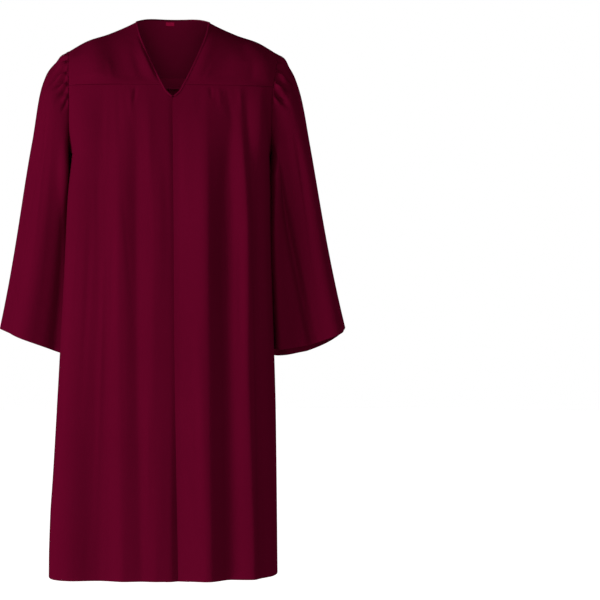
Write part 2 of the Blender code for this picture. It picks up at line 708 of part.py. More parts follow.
def sleeve(side):
    """A bell sleeve: a tube from its gathered head to the open cuff."""
    outward = 1.0 if side == "left" else -1.0
    upper = np.linspace(-0.25, 0.25, SLEEVE_UPPER_COLUMNS + 1)
    lower = np.linspace(0.25, 0.75, SLEEVE_LOWER_COLUMNS + 1)
    turns, stations = np.meshgrid(np.concatenate((upper, lower[1:-1])), SLEEVE_STATIONS)
    plain = sleeve_points(side, turns, stations)
    folded = plain - tube_inward(plain) * sleeve_fold_height(side, turns, stations)[..., None]
    folded[0] = plain[0]
    inward = tube_inward(folded)
    inward[0] = flattened(inward[0], 0)
    mirror = np.array((outward, 1.0, 1.0))
    return folded * mirror, (folded + CLOTH * inward) * mirror


def tube_inward(points):
    """Unit normals of a closed tube's grid, pointing to its inside."""
    around = np.roll(points, -1, axis=1) - np.roll(points, 1, axis=1)
    down = np.gradient(points, axis=0)
    normal = np.cross(around, down)
    normal /= np.linalg.norm(normal, axis=-1, keepdims=True)
    to_centre = points.mean(axis=1, keepdims=True) - points
    facing = np.sum(normal * to_centre, axis=-1).mean()
    return normal if facing > 0 else -normal


def neck_binding_path():
    """The line of the turned neck edge: up one side of the V, round the back neck and down again.

    It stands off the edge, in the cloth's own surface. The cloth faces forward along the V, up at
    the neck points and back behind them.
    """
    drops = np.concatenate(((V_POINT - BINDING_START,), FRONT_DROPS[2::-1], np.linspace(0.140, 0.0, 12)))
    left = np.stack((
        table_column(NECK_EDGE, "half_width", drops),
        -table_column(NECK_EDGE, "forward", drops),
        -drops,
    ), axis=-1)
    back_x = NECK_HALF * np.cos(np.linspace(0, math.pi, 17))[1:-1]
    rear = np.stack((back_x, *shoulder_line(back_x)), axis=-1)
    edge = np.concatenate((left, rear, left[::-1] * np.array((-1.0, 1.0, 1.0))))
    backward = 2 * np.clip(edge[:, 1] / BINDING_TURN, -1, 1)
    facing = np.stack((0 * backward, backward, 1 + 0 * backward), axis=-1)
    away = np.cross(facing, np.gradient(edge, axis=0))
    away /= np.linalg.norm(away, axis=1, keepdims=True)
    path = edge + away * BINDING_STAND
    clear = BINDING_RADIUS + SEAM_GAP
    path[0, 0] = clear
    path[-1, 0] = -clear
    return path


def size_label():
    """The bare size label, a seam's gap off the inside of the back yoke under the neck edge."""
    yoke = back_yoke()[1]
    ends = LABEL_CENTRE_X + LABEL_WIDTH * np.array((-0.5, 0.5))
    columns = yoke[-1, :, 0]
    across = np.concatenate((ends[:1], columns[(columns > ends[0]) & (columns < ends[1])], ends[1:]))
    edge, below = (
        np.stack([np.interp(across, row[:, 0], row[:, axis]) for axis in range(3)], axis=-1)
        for row in (yoke[-1], yoke[-2])
    )
    down = (below - edge) / np.linalg.norm(below - edge, axis=1, keepdims=True)
    panel = np.stack((edge + down * (LABEL_BELOW_EDGE + LABEL_HEIGHT), edge + down * LABEL_BELOW_EDGE))
    inward = surface_inward(panel, BACK_FACING)
    near = panel + SEAM_GAP * inward
    return near, near + LABEL_THICKNESS * inward


def cloth_material(name, colour):
    """A matte cloth finish for one piece."""
    material = bpy.data.materials.new(name)
    material.use_nodes = True
    shader = material.node_tree.nodes["Principled BSDF"]
    shader.inputs["Base Color"].default_value = colour
    shader.inputs["Roughness"].default_value = CLOTH_ROUGHNESS
    shader.inputs["Metallic"].default_value = 0.0
    return material


def wall(name, grids, colour, collection, closed=False):
    """A closed wall between an outer and an inner grid, joined round its open edges."""
    outer, inner = grids
    rows, columns = outer.shape[:2]
    index = np.arange(rows * columns).reshape(rows, columns)
    following = np.roll(index, -1, axis=1) if closed else index[:, 1:]
    current = index if closed else index[:, :-1]
    skin = np.stack((current[:-1], following[:-1], following[1:], current[1:]), axis=-1).reshape(-1, 4)
    size = rows * columns
    edges = []
    for row, flip in ((0, False), (rows - 1, True)):
        strip = np.stack((current[row], following[row], following[row] + size, current[row] + size), axis=-1)
        edges.append(strip if flip else strip[:, ::-1])
    if not closed:
        for column, flip in ((0, True), (columns - 1, False)):
            line = index[:, column]
            strip = np.stack((line[:-1], line[1:], line[1:] + size, line[:-1] + size), axis=-1)
            edges.append(strip if flip else strip[:, ::-1])
    faces = np.concatenate([skin, skin[:, ::-1] + size] + edges)
    points = np.concatenate((outer.reshape(-1, 3), inner.reshape(-1, 3)))
    mesh = bpy.data.meshes.new(name)
    mesh.from_pydata(points.tolist(), [], faces.tolist())
    finish(name, mesh, colour, collection)


def finish(name, mesh, colour, collection):
    """Point a mesh's faces outward, shade it smooth, and place its object in the collection."""
    form = bmesh.new()
    form.from_mesh(mesh)
    bmesh.ops.recalc_face_normals(form, faces=form.faces)
    form.to_mesh(mesh)
    form.free()
    mesh.shade_smooth()
    mesh.materials.append(cloth_material(name, colour))
    collection.objects.link(bpy.data.objects.new(name, mesh))


def binding(name, path, colour, collection):
    """The turned neck edge as a round cord of cloth along its path."""
    curve = bpy.data.curves.new(name, "CURVE")
    curve.dimensions = "3D"
    curve.bevel_depth = BINDING_RADIUS
    curve.bevel_resolution = 1
    curve.use_fill_caps = True
    spline = curve.splines.new("POLY")
    spline.points.add(len(path) - 1)
    spline.points.foreach_set("co", np.column_stack((path, np.ones(len(path)))).ravel())
    curve.materials.append(cloth_material(name, colour))
    collection.objects.link(bpy.data.objects.new(name, curve))


def build():
    """Clear the scene and make the robe's pieces."""
    for old in list(bpy.data.objects):
        bpy.data.objects.remove(old, do_unlink=True)
    collection = bpy.data.collections.new("choir_robe")
    bpy.context.scene.collection.children.link(collection)
    for side in ("right", "left"):
        wall(f"front_yoke_{side}", front_yoke(side), MAROON, collection)
        wall(f"front_{side}", front_panel(side), MAROON, collection)
        wall(f"sleeve_{side}", sleeve(side), MAROON, collection, closed=True)
    wall("back_yoke", back_yoke(), MAROON, collection)
    wall("back_panel", back_panel(), MAROON, collection)
    wall("size_label", size_label(), LABEL_RED, collection)
    binding("neck_binding", neck_binding_path(), MAROON, collection)


build()
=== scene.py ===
# %% [markdown]
# # A choir robe, from its solids to cloth
#
# The robe hangs as it does when it is worn: two pleated fronts that meet edge to edge, a back gathered
# under its yoke, two front yokes, and bell sleeves gathered into the armholes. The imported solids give
# the size and the place of every sewn piece. This lesson lays finer cloth over each of them, in the
# same places, and dyes it. Sizes are in metres, +Z is up and the front faces -Y.

# %% Load the frame
import math
from collections import namedtuple

import bpy
import numpy as np
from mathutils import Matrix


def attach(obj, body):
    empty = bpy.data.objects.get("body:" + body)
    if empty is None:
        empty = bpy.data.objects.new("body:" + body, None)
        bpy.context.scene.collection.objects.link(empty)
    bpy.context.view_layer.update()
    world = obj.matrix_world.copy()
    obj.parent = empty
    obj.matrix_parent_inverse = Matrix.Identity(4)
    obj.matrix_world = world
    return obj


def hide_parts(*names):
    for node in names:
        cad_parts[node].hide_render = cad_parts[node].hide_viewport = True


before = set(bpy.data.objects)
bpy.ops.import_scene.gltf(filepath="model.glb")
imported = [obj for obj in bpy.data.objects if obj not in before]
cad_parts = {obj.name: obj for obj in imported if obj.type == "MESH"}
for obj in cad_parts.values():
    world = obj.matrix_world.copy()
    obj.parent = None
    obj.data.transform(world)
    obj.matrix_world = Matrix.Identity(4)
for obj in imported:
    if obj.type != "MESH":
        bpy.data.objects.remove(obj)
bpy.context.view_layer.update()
print("nodes:", sorted(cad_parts))

# %% [markdown]
# ## The camera
#
# The robe was taken from straight in front, with a long lens and the camera level at the height of
# its waist. It stands left of the middle of the picture, so the camera turns a little to its right
# and is not shifted.

# %% Camera
PICTURE = 600
LENS_PIXELS = 1765.0
CAMERA_DISTANCE = 3.95
CAMERA_HEIGHT = -0.62
ROBE_CENTRE_PIXEL = 173.0
SENSOR = 36.0

camera_data = bpy.data.cameras.new("camera")
camera_data.sensor_width = SENSOR
camera_data.lens = SENSOR * LENS_PIXELS / PICTURE
camera = bpy.data.objects.new("camera", camera_data)
pan = math.atan2(PICTURE / 2 - ROBE_CENTRE_PIXEL, LENS_PIXELS)
camera.location = (0.0, -CAMERA_DISTANCE, CAMERA_HEIGHT)
camera.rotation_euler = (math.pi / 2, 0.0, -pan)
bpy.context.scene.collection.objects.link(camera)
bpy.context.scene.camera = camera
print(f"lens {camera_data.lens:.1f} mm, turned {math.degrees(pan):.2f} degrees")

# %% [markdown]
# ## The studio
#
# The key light rakes across the folds from the left, and a weaker one from in front opens their
# shadows. A third lights the back alone. Area lamps could do this, but from close by they light the
# shoulders more than the hem, so all three are suns with wide discs. The shoulders are dim in the
# picture, so the key shines from a little below the level and the sky dims upward, though the camera
# sees it white. The floor lies below the hem, since the robe is held up as if somebody wore it. It
# throws no shadow, so the low key passes it.

# %% Light
KEY_LIGHT = 3.15
KEY_DIRECTION = (0.848, 0.490, 0.140)
FILL_LIGHT = 0.72
FILL_DIRECTION = (0.05, 0.99, 0.04)
BACK_LIGHT = 1.8
BACK_DIRECTION = (-0.42, -0.89, -0.17)
AMBIENT = 0.34
CEILING = 0.13
BACKGROUND = 1.0
WHITE = (1.0, 1.0, 1.0, 1.0)


def sun(name, strength, spread, direction):
    """A sun lamp that shines along a direction, its disc as wide as the spread in degrees."""
    data = bpy.data.lights.new(name, "SUN")
    data.energy = strength
    data.angle = math.radians(spread)
    lamp = bpy.data.objects.new(name, data)
    x, y, z = direction
    lamp.rotation_euler = (math.atan2(math.hypot(x, y), -z), 0.0, math.atan2(-x, y))
    bpy.context.scene.collection.objects.link(lamp)
    return lamp


def add_node(tree, kind, **values):
    """A shader node, with values set on the sockets that they are named after."""
    node = tree.nodes.new(f"ShaderNode{kind}")
    for label, value in values.items():
        node.inputs[label.replace("_", " ")].default_value = value
    return node


def wire(tree, *pairs):
    """Links in a node tree, each from an output to an input."""
    for output, socket in pairs:
        tree.links.new(output, socket)


def math_node(tree, operation, first, second=None):
    """A Math node fed by sockets or by plain numbers."""
    node = add_node(tree, "Math")
    node.operation = operation
    for socket, value in zip(node.inputs, (first, second)):
        if isinstance(value, (int, float)):
            socket.default_value = value
        elif value is not None:
            tree.links.new(value, socket)
    return node.outputs[0]


key = sun("key", KEY_LIGHT, 20, KEY_DIRECTION)
sun("fill", FILL_LIGHT, 30, FILL_DIRECTION)
sun("back_key", BACK_LIGHT, 40, BACK_DIRECTION).visible_glossy = False

# %% Sky
world = bpy.data.worlds.new("studio")
world.use_nodes = True
sky = world.node_tree
height = add_node(sky, "SeparateXYZ")
dimmer = add_node(sky, "MapRange", To_Min=AMBIENT, To_Max=CEILING)
lighting = sky.nodes["Background"]
lighting.inputs["Color"].default_value = WHITE
backdrop = add_node(sky, "Background", Color=WHITE, Strength=BACKGROUND)
either = add_node(sky, "MixShader")
wire(sky,
     (add_node(sky, "TexCoord").outputs["Generated"], height.inputs[0]),
     (height.outputs[2], dimmer.inputs["Value"]),
     (dimmer.outputs["Result"], lighting.inputs["Strength"]),
     (add_node(sky, "LightPath").outputs["Is Camera Ray"], either.inputs["Fac"]),
     (lighting.outputs[0], either.inputs[1]),
     (backdrop.outputs[0], either.inputs[2]),
     (either.outputs[0], sky.nodes["World Output"].inputs["Surface"]))
bpy.context.scene.world = world
bpy.context.scene.view_settings.view_transform = "Standard"

# %% Floor
FLOOR_DROP = 1.42
FLOOR_RADIUS = 9.0
FLOOR_TONE = 0.50
FLOOR_ROUGHNESS = 0.9
FLOOR_GLOW = 0.32
FLOOR_GLOW_SEEN = 0.64

angles = np.linspace(0, 2 * math.pi, 96, endpoint=False)
rim = FLOOR_RADIUS * np.stack((np.cos(angles), np.sin(angles), 0 * angles), axis=-1) - (0.0, 0.0, FLOOR_DROP)
floor_mesh = bpy.data.meshes.new("floor")
floor_mesh.from_pydata(rim.tolist(), [], [list(range(len(rim)))])
floor = bpy.data.objects.new("floor", floor_mesh)
bpy.context.scene.collection.objects.link(floor)
pale_floor = bpy.data.materials.new("pale_floor")
pale_floor.use_nodes = True
paint = pale_floor.node_tree
painted = paint.nodes["Principled BSDF"]
painted.inputs["Base Color"].default_value = (FLOOR_TONE, FLOOR_TONE, FLOOR_TONE, 1.0)
painted.inputs["Roughness"].default_value = FLOOR_ROUGHNESS
glow = add_node(paint, "Emission")
lit = add_node(paint, "AddShader")
to_camera = add_node(paint, "LightPath").outputs["Is Camera Ray"]
strength = math_node(paint, "ADD", math_node(paint, "MULTIPLY", to_camera, FLOOR_GLOW_SEEN), FLOOR_GLOW)
wire(paint,
     (strength, glow.inputs["Strength"]),
     (painted.outputs[0], lit.inputs[0]),
     (glow.outputs[0], lit.inputs[1]),
     (lit.outputs[0], paint.nodes["Material Output"].inputs["Surface"]))
floor_mesh.materials.append(pale_floor)
floor.visible_shadow = False

# %% [markdown]
# ## The robe's own sizes
#
# Every piece is worked out from a few measures of the robe. A drop is a distance below the neck
# points, where the neck edge meets the shoulder seams. Right and left are the wearer's.

# %% Sizes
OUTWARD = {"right": -1.0, "left": 1.0}
FORWARD = {"front": -1.0, "back": 1.0}
SEAM_GAP = -0.0002
NECK_HALF = 0.0815
NECK_BACK_DEPTH = 0.070
NECK_BACK_RISE = 0.014
SHOULDER_HALF = 0.230
SHOULDER_DROP = 0.066
SHOULDER_Y = 0.0125
FRONT_SEAM = 0.151
BACK_SEAM = 0.133
BACK_SEAM_RISE = 0.020
BACK_RISE_ENDS = 0.26
V_POINT = 0.1804
UNDERARM = 0.300
LENGTH = 1.226
BACK_LENGTH = 1.224
HEM_SIDE_LIFT = 0.010
HEM_LIFT_WIDTH = 0.070
HEM_LIFT_STARTS = 0.80
SHOULDER_SLANT = math.radians(28)
TURN_STARTS = 0.103
TURNED_DROP = 0.40
FLAT_SHARE_TOP = 0.45
FLAT_SHARE_LOW = 0.62
ROUNDING_TOP = 0.07
ROUNDING_SHARE_LOW = 0.62
SIDE_HOLLOW_WIDTH = 0.034
SIDE_HOLLOW_STARTS = (0.33, 0.46)
SEAM_FLAT_WIDTH = 0.030
ARMHOLE_HALF_HEIGHT = (UNDERARM - SHOULDER_DROP) / 2
ARMHOLE_CENTRE_DROP = (UNDERARM + SHOULDER_DROP) / 2
ARMHOLE_HALF_DEPTH = 0.0875
ARMHOLE_SQUARE = 3.2
SCOOPS = {"right": 0.003, "left": 0.013}
SCOOP_WIDTHS = (0.080, 0.035)
SCOOP_STARTS = (0.080, 0.190)
SCOOP_ENDS = (0.300, 0.900)
SECTION_STEPS = 1600

# Cloth, and how it turns at its edges
CLOTH = 0.0006
THIN_CLOTH = 0.0004
TURN = 0.0007
SEAM_ROLL = 0.0016
HEM_BAND = 0.040
CUFF_BAND = 0.030
CLOSURE_FACING = 0.022
CLOSURE_LAP = 0.0010
CLOSURE_LAP_WIDTH = 0.020

GIRTH_DROPS = (0.11, 0.151, 0.22, 0.3, 0.42, 0.73, 1.0, 1.226)
GIRTHS = {
    "front": (0.096, 0.105, 0.119, 0.129, 0.135, 0.142, 0.147, 0.151),
    "back": (0.106, 0.117, 0.131, 0.14, 0.146, 0.151, 0.154, 0.157),
    "seam_right": (0.23, 0.23, 0.23, 0.229, 0.217, 0.212, 0.224, 0.234),
    "seam_left": (0.23, 0.23, 0.23, 0.229, 0.214, 0.202, 0.2, 0.198),
    "front_right": (0.23, 0.23, 0.23, 0.229, 0.235, 0.252, 0.261, 0.264),
    "front_left": (0.23, 0.23, 0.23, 0.231, 0.229, 0.229, 0.232, 0.234),
    "back_right": (0.23, 0.23, 0.23, 0.23, 0.224, 0.222, 0.236, 0.246),
    "back_left": (0.23, 0.23, 0.23, 0.23, 0.222, 0.217, 0.214, 0.208),
    "closure": (0.0, 0.0, 0.0, 0.001, 0.002, 0.004, 0.008, 0.012),
}
SHOULDER_OUT = (0.0, 0.018, 0.06, 0.1115, 0.1485)
SHOULDER_FALL = (0.0, 0.009, 0.0268, 0.0446, 0.066)
NECK_DROPS = (0.0, 0.03, 0.06, 0.09, 0.12, 0.151, 0.168, 0.1804)
NECK_HALVES = (0.0815, 0.0755, 0.0655, 0.053, 0.0395, 0.024, 0.014, 0.0)
NECK_FORWARD = (0.0, 0.036, 0.061, 0.079, 0.093, 0.105, 0.109, 0.112)
NECK_CUT_WIDTH = 0.066
print(f"armholes {2 * ARMHOLE_HALF_HEIGHT:.3f} m high and {2 * ARMHOLE_HALF_DEPTH:.3f} m deep")

# %% [markdown]
# ## Smooth tables
#
# A measured table has few rows, and straight lines between them would show as kinks in the cloth.
# A cubic Hermite curve through the rows passes through every value with one slope at each row.

# %% Curves and ramps
def curve(at, rows, values):
    """Values at any place of a table, its rows joined by cubic Hermite curves."""
    rows = np.asarray(rows, dtype=float)
    values = np.asarray(values, dtype=float)
    slopes = np.gradient(values, rows)
    at = np.clip(at, rows[0], rows[-1])
    index = np.clip(np.searchsorted(rows, at) - 1, 0, len(rows) - 2)
    span = rows[index + 1] - rows[index]
    t = (at - rows[index]) / span
    start = (1 + 2 * t) * (1 - t) ** 2 * values[index] + t * (1 - t) ** 2 * span * slopes[index]
    end = t * t * (3 - 2 * t) * values[index + 1] - t * t * (1 - t) * span * slopes[index + 1]
    return start + end


def bezier(t, *points):
    """A cubic Bezier curve at t: its four points, weighted by Bernstein's polynomials."""
    weights = ((1 - t) ** 3, 3 * t * (1 - t) ** 2, 3 * t * t * (1 - t), t ** 3)
    return sum(weight * point for weight, point in zip(weights, points))


def ramp(low, high, value):
    """A smooth step: 3t^2 - 2t^3, with t from 0 at low to 1 at high."""
    t = np.clip((value - low) / (high - low), 0.0, 1.0)
    return t * t * (3 - 2 * t)


def bell(offset, width):
    """A Gaussian hump: exp(-(offset / width)^2)."""
    return np.exp(-(offset / width) ** 2)


def spaced(*stops):
    """Places with even steps between stops: each stop is a place and the steps up to the next."""
    parts = [np.linspace(a[0], b[0], a[1], endpoint=False) for a, b in zip(stops, stops[1:])]
    return np.concatenate(parts + [np.array([stops[-1][0]])])


def at_points(x, y, z):
    """Points from their coordinates, along a last axis."""
    return np.stack(np.broadcast_arrays(x, y, z), axis=-1)


# %% [markdown]
# ## Cloth from a surface
#
# A sewn piece is a surface of two parameters. It is sunk along its normals at its edges: at a seam
# it rolls inward in a quarter circle, so two edges meet in a groove, and at a hem it turns right
# round and runs back up inside as a second layer. A bevel could round the edges afterwards, but it
# can't turn a hem, so both are worked into the surface. The UV map holds distances along the cloth,
# so the weave keeps its scale on every piece.

# %% Edges and shells
def edge_roll(radius, steps=5):
    """A seam's edge: distances from it and insets, round a quarter circle of that radius."""
    angle = np.linspace(0, math.pi / 2, steps)
    return radius * (1 - np.cos(angle)), radius * (1 - np.sin(angle))


def edge_turn(radius, band, steps=7, band_steps=8):
    """A hem's edge: up inside along the band, then round half a circle to the outer side."""
    up = np.linspace(band, radius, band_steps, endpoint=False)
    angle = np.linspace(math.pi, 0, steps)
    distance = np.concatenate((up, radius * (1 - np.sin(angle))))
    inset = np.concatenate((0 * up + 2 * radius, radius * (1 - np.cos(angle))))
    return distance, inset


SEAM = edge_roll(SEAM_ROLL)
HALF_SEAM = edge_roll(SEAM_ROLL / 2)
HEM = edge_turn(TURN, HEM_BAND)
EDGE_ROOM = 1.05
BODY_CENTRE_Y = 0.02


def with_edges(places, start=None, end=None):
    """Places along a side with its edges' own places added, and the inset of the cloth at each."""
    low, high = places[0], places[-1]
    inset = np.zeros(len(places))
    if start is not None:
        distance, depth = start
        kept = places > low + distance[-1] * EDGE_ROOM
        places = np.concatenate((low + distance, places[kept]))
        inset = np.concatenate((depth, inset[kept]))
    if end is not None:
        distance, depth = end
        kept = np.arange(len(places)) < np.argmax(places > high - distance[-1] * EDGE_ROOM)
        places = np.concatenate((places[kept], high - distance[::-1]))
        inset = np.concatenate((inset[kept], depth[::-1]))
    return places, inset


# %% Directions
def unit(vectors):
    """Vectors scaled to length 1."""
    return vectors / np.linalg.norm(vectors, axis=-1, keepdims=True)


def facing(surface, u, v, outward, step=2e-4):
    """Unit normals: the cross product of small steps along both parameters, turned outward."""
    along = surface(u + step, v) - surface(u - step, v)
    down = surface(u, v + step) - surface(u, v - step)
    normal = unit(np.cross(along, down))
    return normal * np.sign(np.sum(normal * outward(surface(u, v)), axis=-1).mean())


def from_chest(points):
    """Away from the middle of the body, level below the underarms."""
    return points - at_points(0.0, BODY_CENTRE_Y, np.minimum(points[..., 2], -UNDERARM))


def from_ring(points):
    """Away from the middle of each ring of a tube."""
    return points - points.mean(axis=1, keepdims=True)


# %% Shells
def cloth(name, points, outward, closed=False, thickness=CLOTH):
    """A grid of points as a smooth mesh with a UV map in metres, given its thickness inward."""
    rows, columns = points.shape[:2]
    index = np.arange(rows * columns).reshape(rows, columns)
    ring = np.concatenate((index, index[:, :1]), axis=1) if closed else index
    laid = points.reshape(-1, 3)[ring]
    across = np.linalg.norm(np.diff(laid, axis=1), axis=-1)
    down = np.linalg.norm(np.diff(laid, axis=0), axis=-1)
    u = np.concatenate((np.zeros((rows, 1)), np.cumsum(across, axis=1)), axis=1)
    v = np.concatenate((np.zeros((1, ring.shape[1])), np.cumsum(down, axis=0)))
    u -= 0.5 * u[:, -1:]
    uv = np.stack((u, -v), axis=-1)
    near, far = slice(None, -1), slice(1, None)
    corners = ((near, near), (near, far), (far, far), (far, near))
    faces = np.stack([ring[corner] for corner in corners], axis=-1).reshape(-1, 4)
    face_uv = np.stack([uv[corner] for corner in corners], axis=-2).reshape(-1, 4, 2)
    normal = np.cross(laid[near, far] - laid[near, near], laid[far, near] - laid[near, near])
    if np.sum(normal * outward(points)[:-1, :normal.shape[1]]) <= 0:
        faces, face_uv = faces[:, ::-1], face_uv[:, ::-1]
    mesh = bpy.data.meshes.new(name)
    mesh.from_pydata(points.reshape(-1, 3).tolist(), [], faces.tolist())
    mesh.uv_layers.new(name="cloth").data.foreach_set("uv", face_uv.ravel())
    mesh.shade_smooth()
    piece = bpy.data.objects.new(name, mesh)
    bpy.context.scene.collection.objects.link(piece)
    if thickness:
        wall = piece.modifiers.new("thickness", "SOLIDIFY")
        wall.thickness = thickness
        wall.offset = -1.0
        wall.material_offset = 1
    print(f"{name}: {len(faces)} faces, {laid[..., 2].min():.3f} to {laid[..., 2].max():.3f} m")
    return piece


def sewn(name, surface, u, v, outward, closed=False):
    """A piece of cloth: a surface on the grid of two edged sides, sunk by their insets."""
    (places_u, inset_u), (places_v, inset_v) = u, v
    grid_u, grid_v = np.meshgrid(places_u, places_v)
    points = surface(grid_u, grid_v)
    inset = inset_u[None, :] + inset_v[:, None]
    points = points - facing(surface, grid_u, grid_v, outward) * inset[..., None]
    return cloth(name, points, outward, closed)


# %% [markdown]
# ## Dyed polyester
#
# The cloth is a matt satin in deep maroon. Its reverse is dyed about twice as light: partly the duller
# back of the satin, partly painted light that lifts the shaded inside of the robe. The threads are finer
# than a pixel in the picture, yet they matter close up. A picture of a weave would blur there, so the
# weave is a shader group that every cloth shares: crossed sine waves a thread apart, put out as a
# height for a Bump node. A second group gives the slow changes of tone that dye and handling leave.
# None of the cloths shines: what light they give back at a slant is a tinted sheen.

# %% Shader groups
CLOUD_DETAIL = 3.0
SLUB_DETAIL = 2.0
SLUB_STRETCH = (900.0, 40.0, 1.0)


def node_group(name, inputs, outputs):
    """An empty shader group and its ends. An input without a value is a vector, the others floats."""
    group = bpy.data.node_groups.new(name, "ShaderNodeTree")
    for label, value in inputs:
        kind = "NodeSocketVector" if value is None else "NodeSocketFloat"
        socket = group.interface.new_socket(name=label, in_out="INPUT", socket_type=kind)
        if value is not None:
            socket.default_value = value
    for label in outputs:
        group.interface.new_socket(name=label, in_out="OUTPUT", socket_type="NodeSocketFloat")
    return group, group.nodes.new("NodeGroupInput"), group.nodes.new("NodeGroupOutput")


weave, weave_in, weave_out = node_group("satin_weave", (("UV", None), ("Threads", 2200.0)), ("Height",))
split = add_node(weave, "SeparateXYZ")
wire(weave, (weave_in.outputs["UV"], split.inputs[0]))
turns = [math_node(weave, "MULTIPLY", axis, weave_in.outputs["Threads"]) for axis in split.outputs[:2]]
warp, weft = (math_node(weave, "SINE", math_node(weave, "MULTIPLY", each, 2 * math.pi)) for each in turns)
twill = math_node(weave, "SINE", math_node(weave, "MULTIPLY", math_node(weave, "ADD", *turns), math.pi))
crossed = math_node(weave, "MULTIPLY", warp, weft)
wire(weave, (math_node(weave, "ADD", crossed, twill), weave_out.inputs["Height"]))

tone, tone_in, tone_out = node_group(
    "dye_tone", (("Position", None), ("UV", None), ("Patches", 5.0)), ("Tone", "Slub"))
cloud = add_node(tone, "TexNoise", Detail=CLOUD_DETAIL)
stretch = add_node(tone, "VectorMath")
stretch.operation = "MULTIPLY"
stretch.inputs[1].default_value = SLUB_STRETCH
slub = add_node(tone, "TexNoise", Scale=1.0, Detail=SLUB_DETAIL)
wire(tone,
     (tone_in.outputs["Position"], cloud.inputs["Vector"]),
     (tone_in.outputs["Patches"], cloud.inputs["Scale"]),
     (tone_in.outputs["UV"], stretch.inputs[0]),
     (stretch.outputs[0], slub.inputs["Vector"]),
     (cloud.outputs["Fac"], tone_out.inputs["Tone"]),
     (slub.outputs["Fac"], tone_out.inputs["Slub"]))
print("shader groups:", weave.name, tone.name)


# %% Cloth materials
CLOUD_SHARE = 0.6
ROUGHNESS_SPREAD = 0.04
THREAD_RELIEF = 0.00006
SHEEN_ROUGHNESS = 0.45
SHEEN_TINT = (0.60, 0.02, 0.12, 1.0)

# Each finish's dark and light dye, roughness, threads to the metre, bump and sheen
FINISHES = {
    # The reverse is dyed about twice as light as the outside: partly the duller back of the satin, partly
    # painted light that lifts the shaded inside of the robe.
    "robe_reverse_and_painted_light": ((0.15, 0.0028, 0.0245), (0.184, 0.0036, 0.031), 0.7, 2200.0, 0.35, 0.02),
    "robe_satin": ((0.076, 0.001, 0.0115), (0.097, 0.0016, 0.0155), 0.52, 2200.0, 0.35, 0.012),
    # The neck edge is dyed a shade lighter than the robe: a painted highlight along the turned edge.
    "edge_satin_and_painted_highlight": ((0.086, 0.0014, 0.0135), (0.108, 0.002, 0.018), 0.5, 2200.0, 0.35, 0.08),
    "label_satin": ((0.42, 0.006, 0.055), (0.48, 0.01, 0.07), 0.45, 1600.0, 0.3, 0.05),
    # The seam allowance is dyed lighter than the reverse: painted light that lifts the shade inside the back.
    "seam_reverse_and_painted_light": ((0.18, 0.0034, 0.029), (0.22, 0.0042, 0.036), 0.7, 2200.0, 0.35, 0.02),
    # The overlock thread is dyed far lighter than the cloth: partly a lighter thread, partly painted light
    # that lifts it in the shade inside the back.
    "overlock_thread_and_painted_light": ((0.27, 0.009, 0.05), (0.31, 0.011, 0.06), 0.6, 2600.0, 0.3, 0.1),
}


def dyed_cloth(name, dark, light, roughness, threads, bump, sheen):
    """A cloth finish: dark and light dye mixed by tone, the weave as a bump, and a tinted sheen."""
    material = bpy.data.materials.new(name)
    material.use_nodes = True
    tree = material.node_tree
    shader = tree.nodes["Principled BSDF"]
    uv_map = add_node(tree, "UVMap")
    uv_map.uv_map = "cloth"
    dye = add_node(tree, "Group")
    dye.node_tree = tone
    woven = add_node(tree, "Group")
    woven.node_tree = weave
    woven.inputs["Threads"].default_value = threads
    mix = add_node(tree, "Mix")
    mix.data_type = "RGBA"
    mix.inputs["A"].default_value = (*dark, 1.0)
    mix.inputs["B"].default_value = (*light, 1.0)
    both = math_node(tree, "ADD", math_node(tree, "MULTIPLY", dye.outputs["Tone"], CLOUD_SHARE),
                     math_node(tree, "MULTIPLY", dye.outputs["Slub"], 1 - CLOUD_SHARE))
    span = add_node(tree, "MapRange", To_Min=roughness - ROUGHNESS_SPREAD,
                    To_Max=roughness + ROUGHNESS_SPREAD)
    relief = add_node(tree, "Bump", Strength=bump, Distance=THREAD_RELIEF)
    wire(tree,
         (add_node(tree, "TexCoord").outputs["Object"], dye.inputs["Position"]),
         (uv_map.outputs["UV"], dye.inputs["UV"]),
         (uv_map.outputs["UV"], woven.inputs["UV"]),
         (both, mix.inputs["Factor"]),
         (mix.outputs["Result"], shader.inputs["Base Color"]),
         (dye.outputs["Slub"], span.inputs["Value"]),
         (span.outputs["Result"], shader.inputs["Roughness"]),
         (woven.outputs["Height"], relief.inputs["Height"]),
         (relief.outputs["Normal"], shader.inputs["Normal"]))
    shader.inputs["Specular IOR Level"].default_value = 0.0
    shader.inputs["Sheen Weight"].default_value = sheen
    shader.inputs["Sheen Roughness"].default_value = SHEEN_ROUGHNESS
    shader.inputs["Sheen Tint"].default_value = SHEEN_TINT
    return material


finishes = {name: dyed_cloth(name, *values) for name, values in FINISHES.items()}
print("finishes:", ", ".join(finishes))


def dress(piece, node, outside="robe_satin", inside="robe_reverse_and_painted_light"):
    """A piece's finishes, outside and in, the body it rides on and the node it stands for."""
    for finish in (outside, inside):
        if finish:
            piece.data.materials.append(finishes[finish])
    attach(piece, "root")
    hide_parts(node)
    return piece


# %% [markdown]
# ## Folds and creases
#
# The fronts are pressed, so they run flat from one bend to the next, and light and shade change at
# the bends. The back's folds are rounded humps and valleys. Creases are short: each rises and dies
# away between two drops. A cloth simulation makes folds too, but can't be steered to the places that
# the picture shows, so these are listed one by one. A real panel is never even, so no two share a
# length or a spacing. The numbers in these tables are in thousandths, of a metre, of a turn or of a
# side's length.

# %% Fold and crease tables
# A line where a front changes slope: its place at three levels, its height at three, its roundness
Bend = namedtuple("Bend", "top middle hem near_yoke half_way low rounding")
# A rounded fold down the back: its place at the yoke and the hem, its width and three heights
Fold = namedtuple("Fold", "top hem width near_yoke middle at_hem")
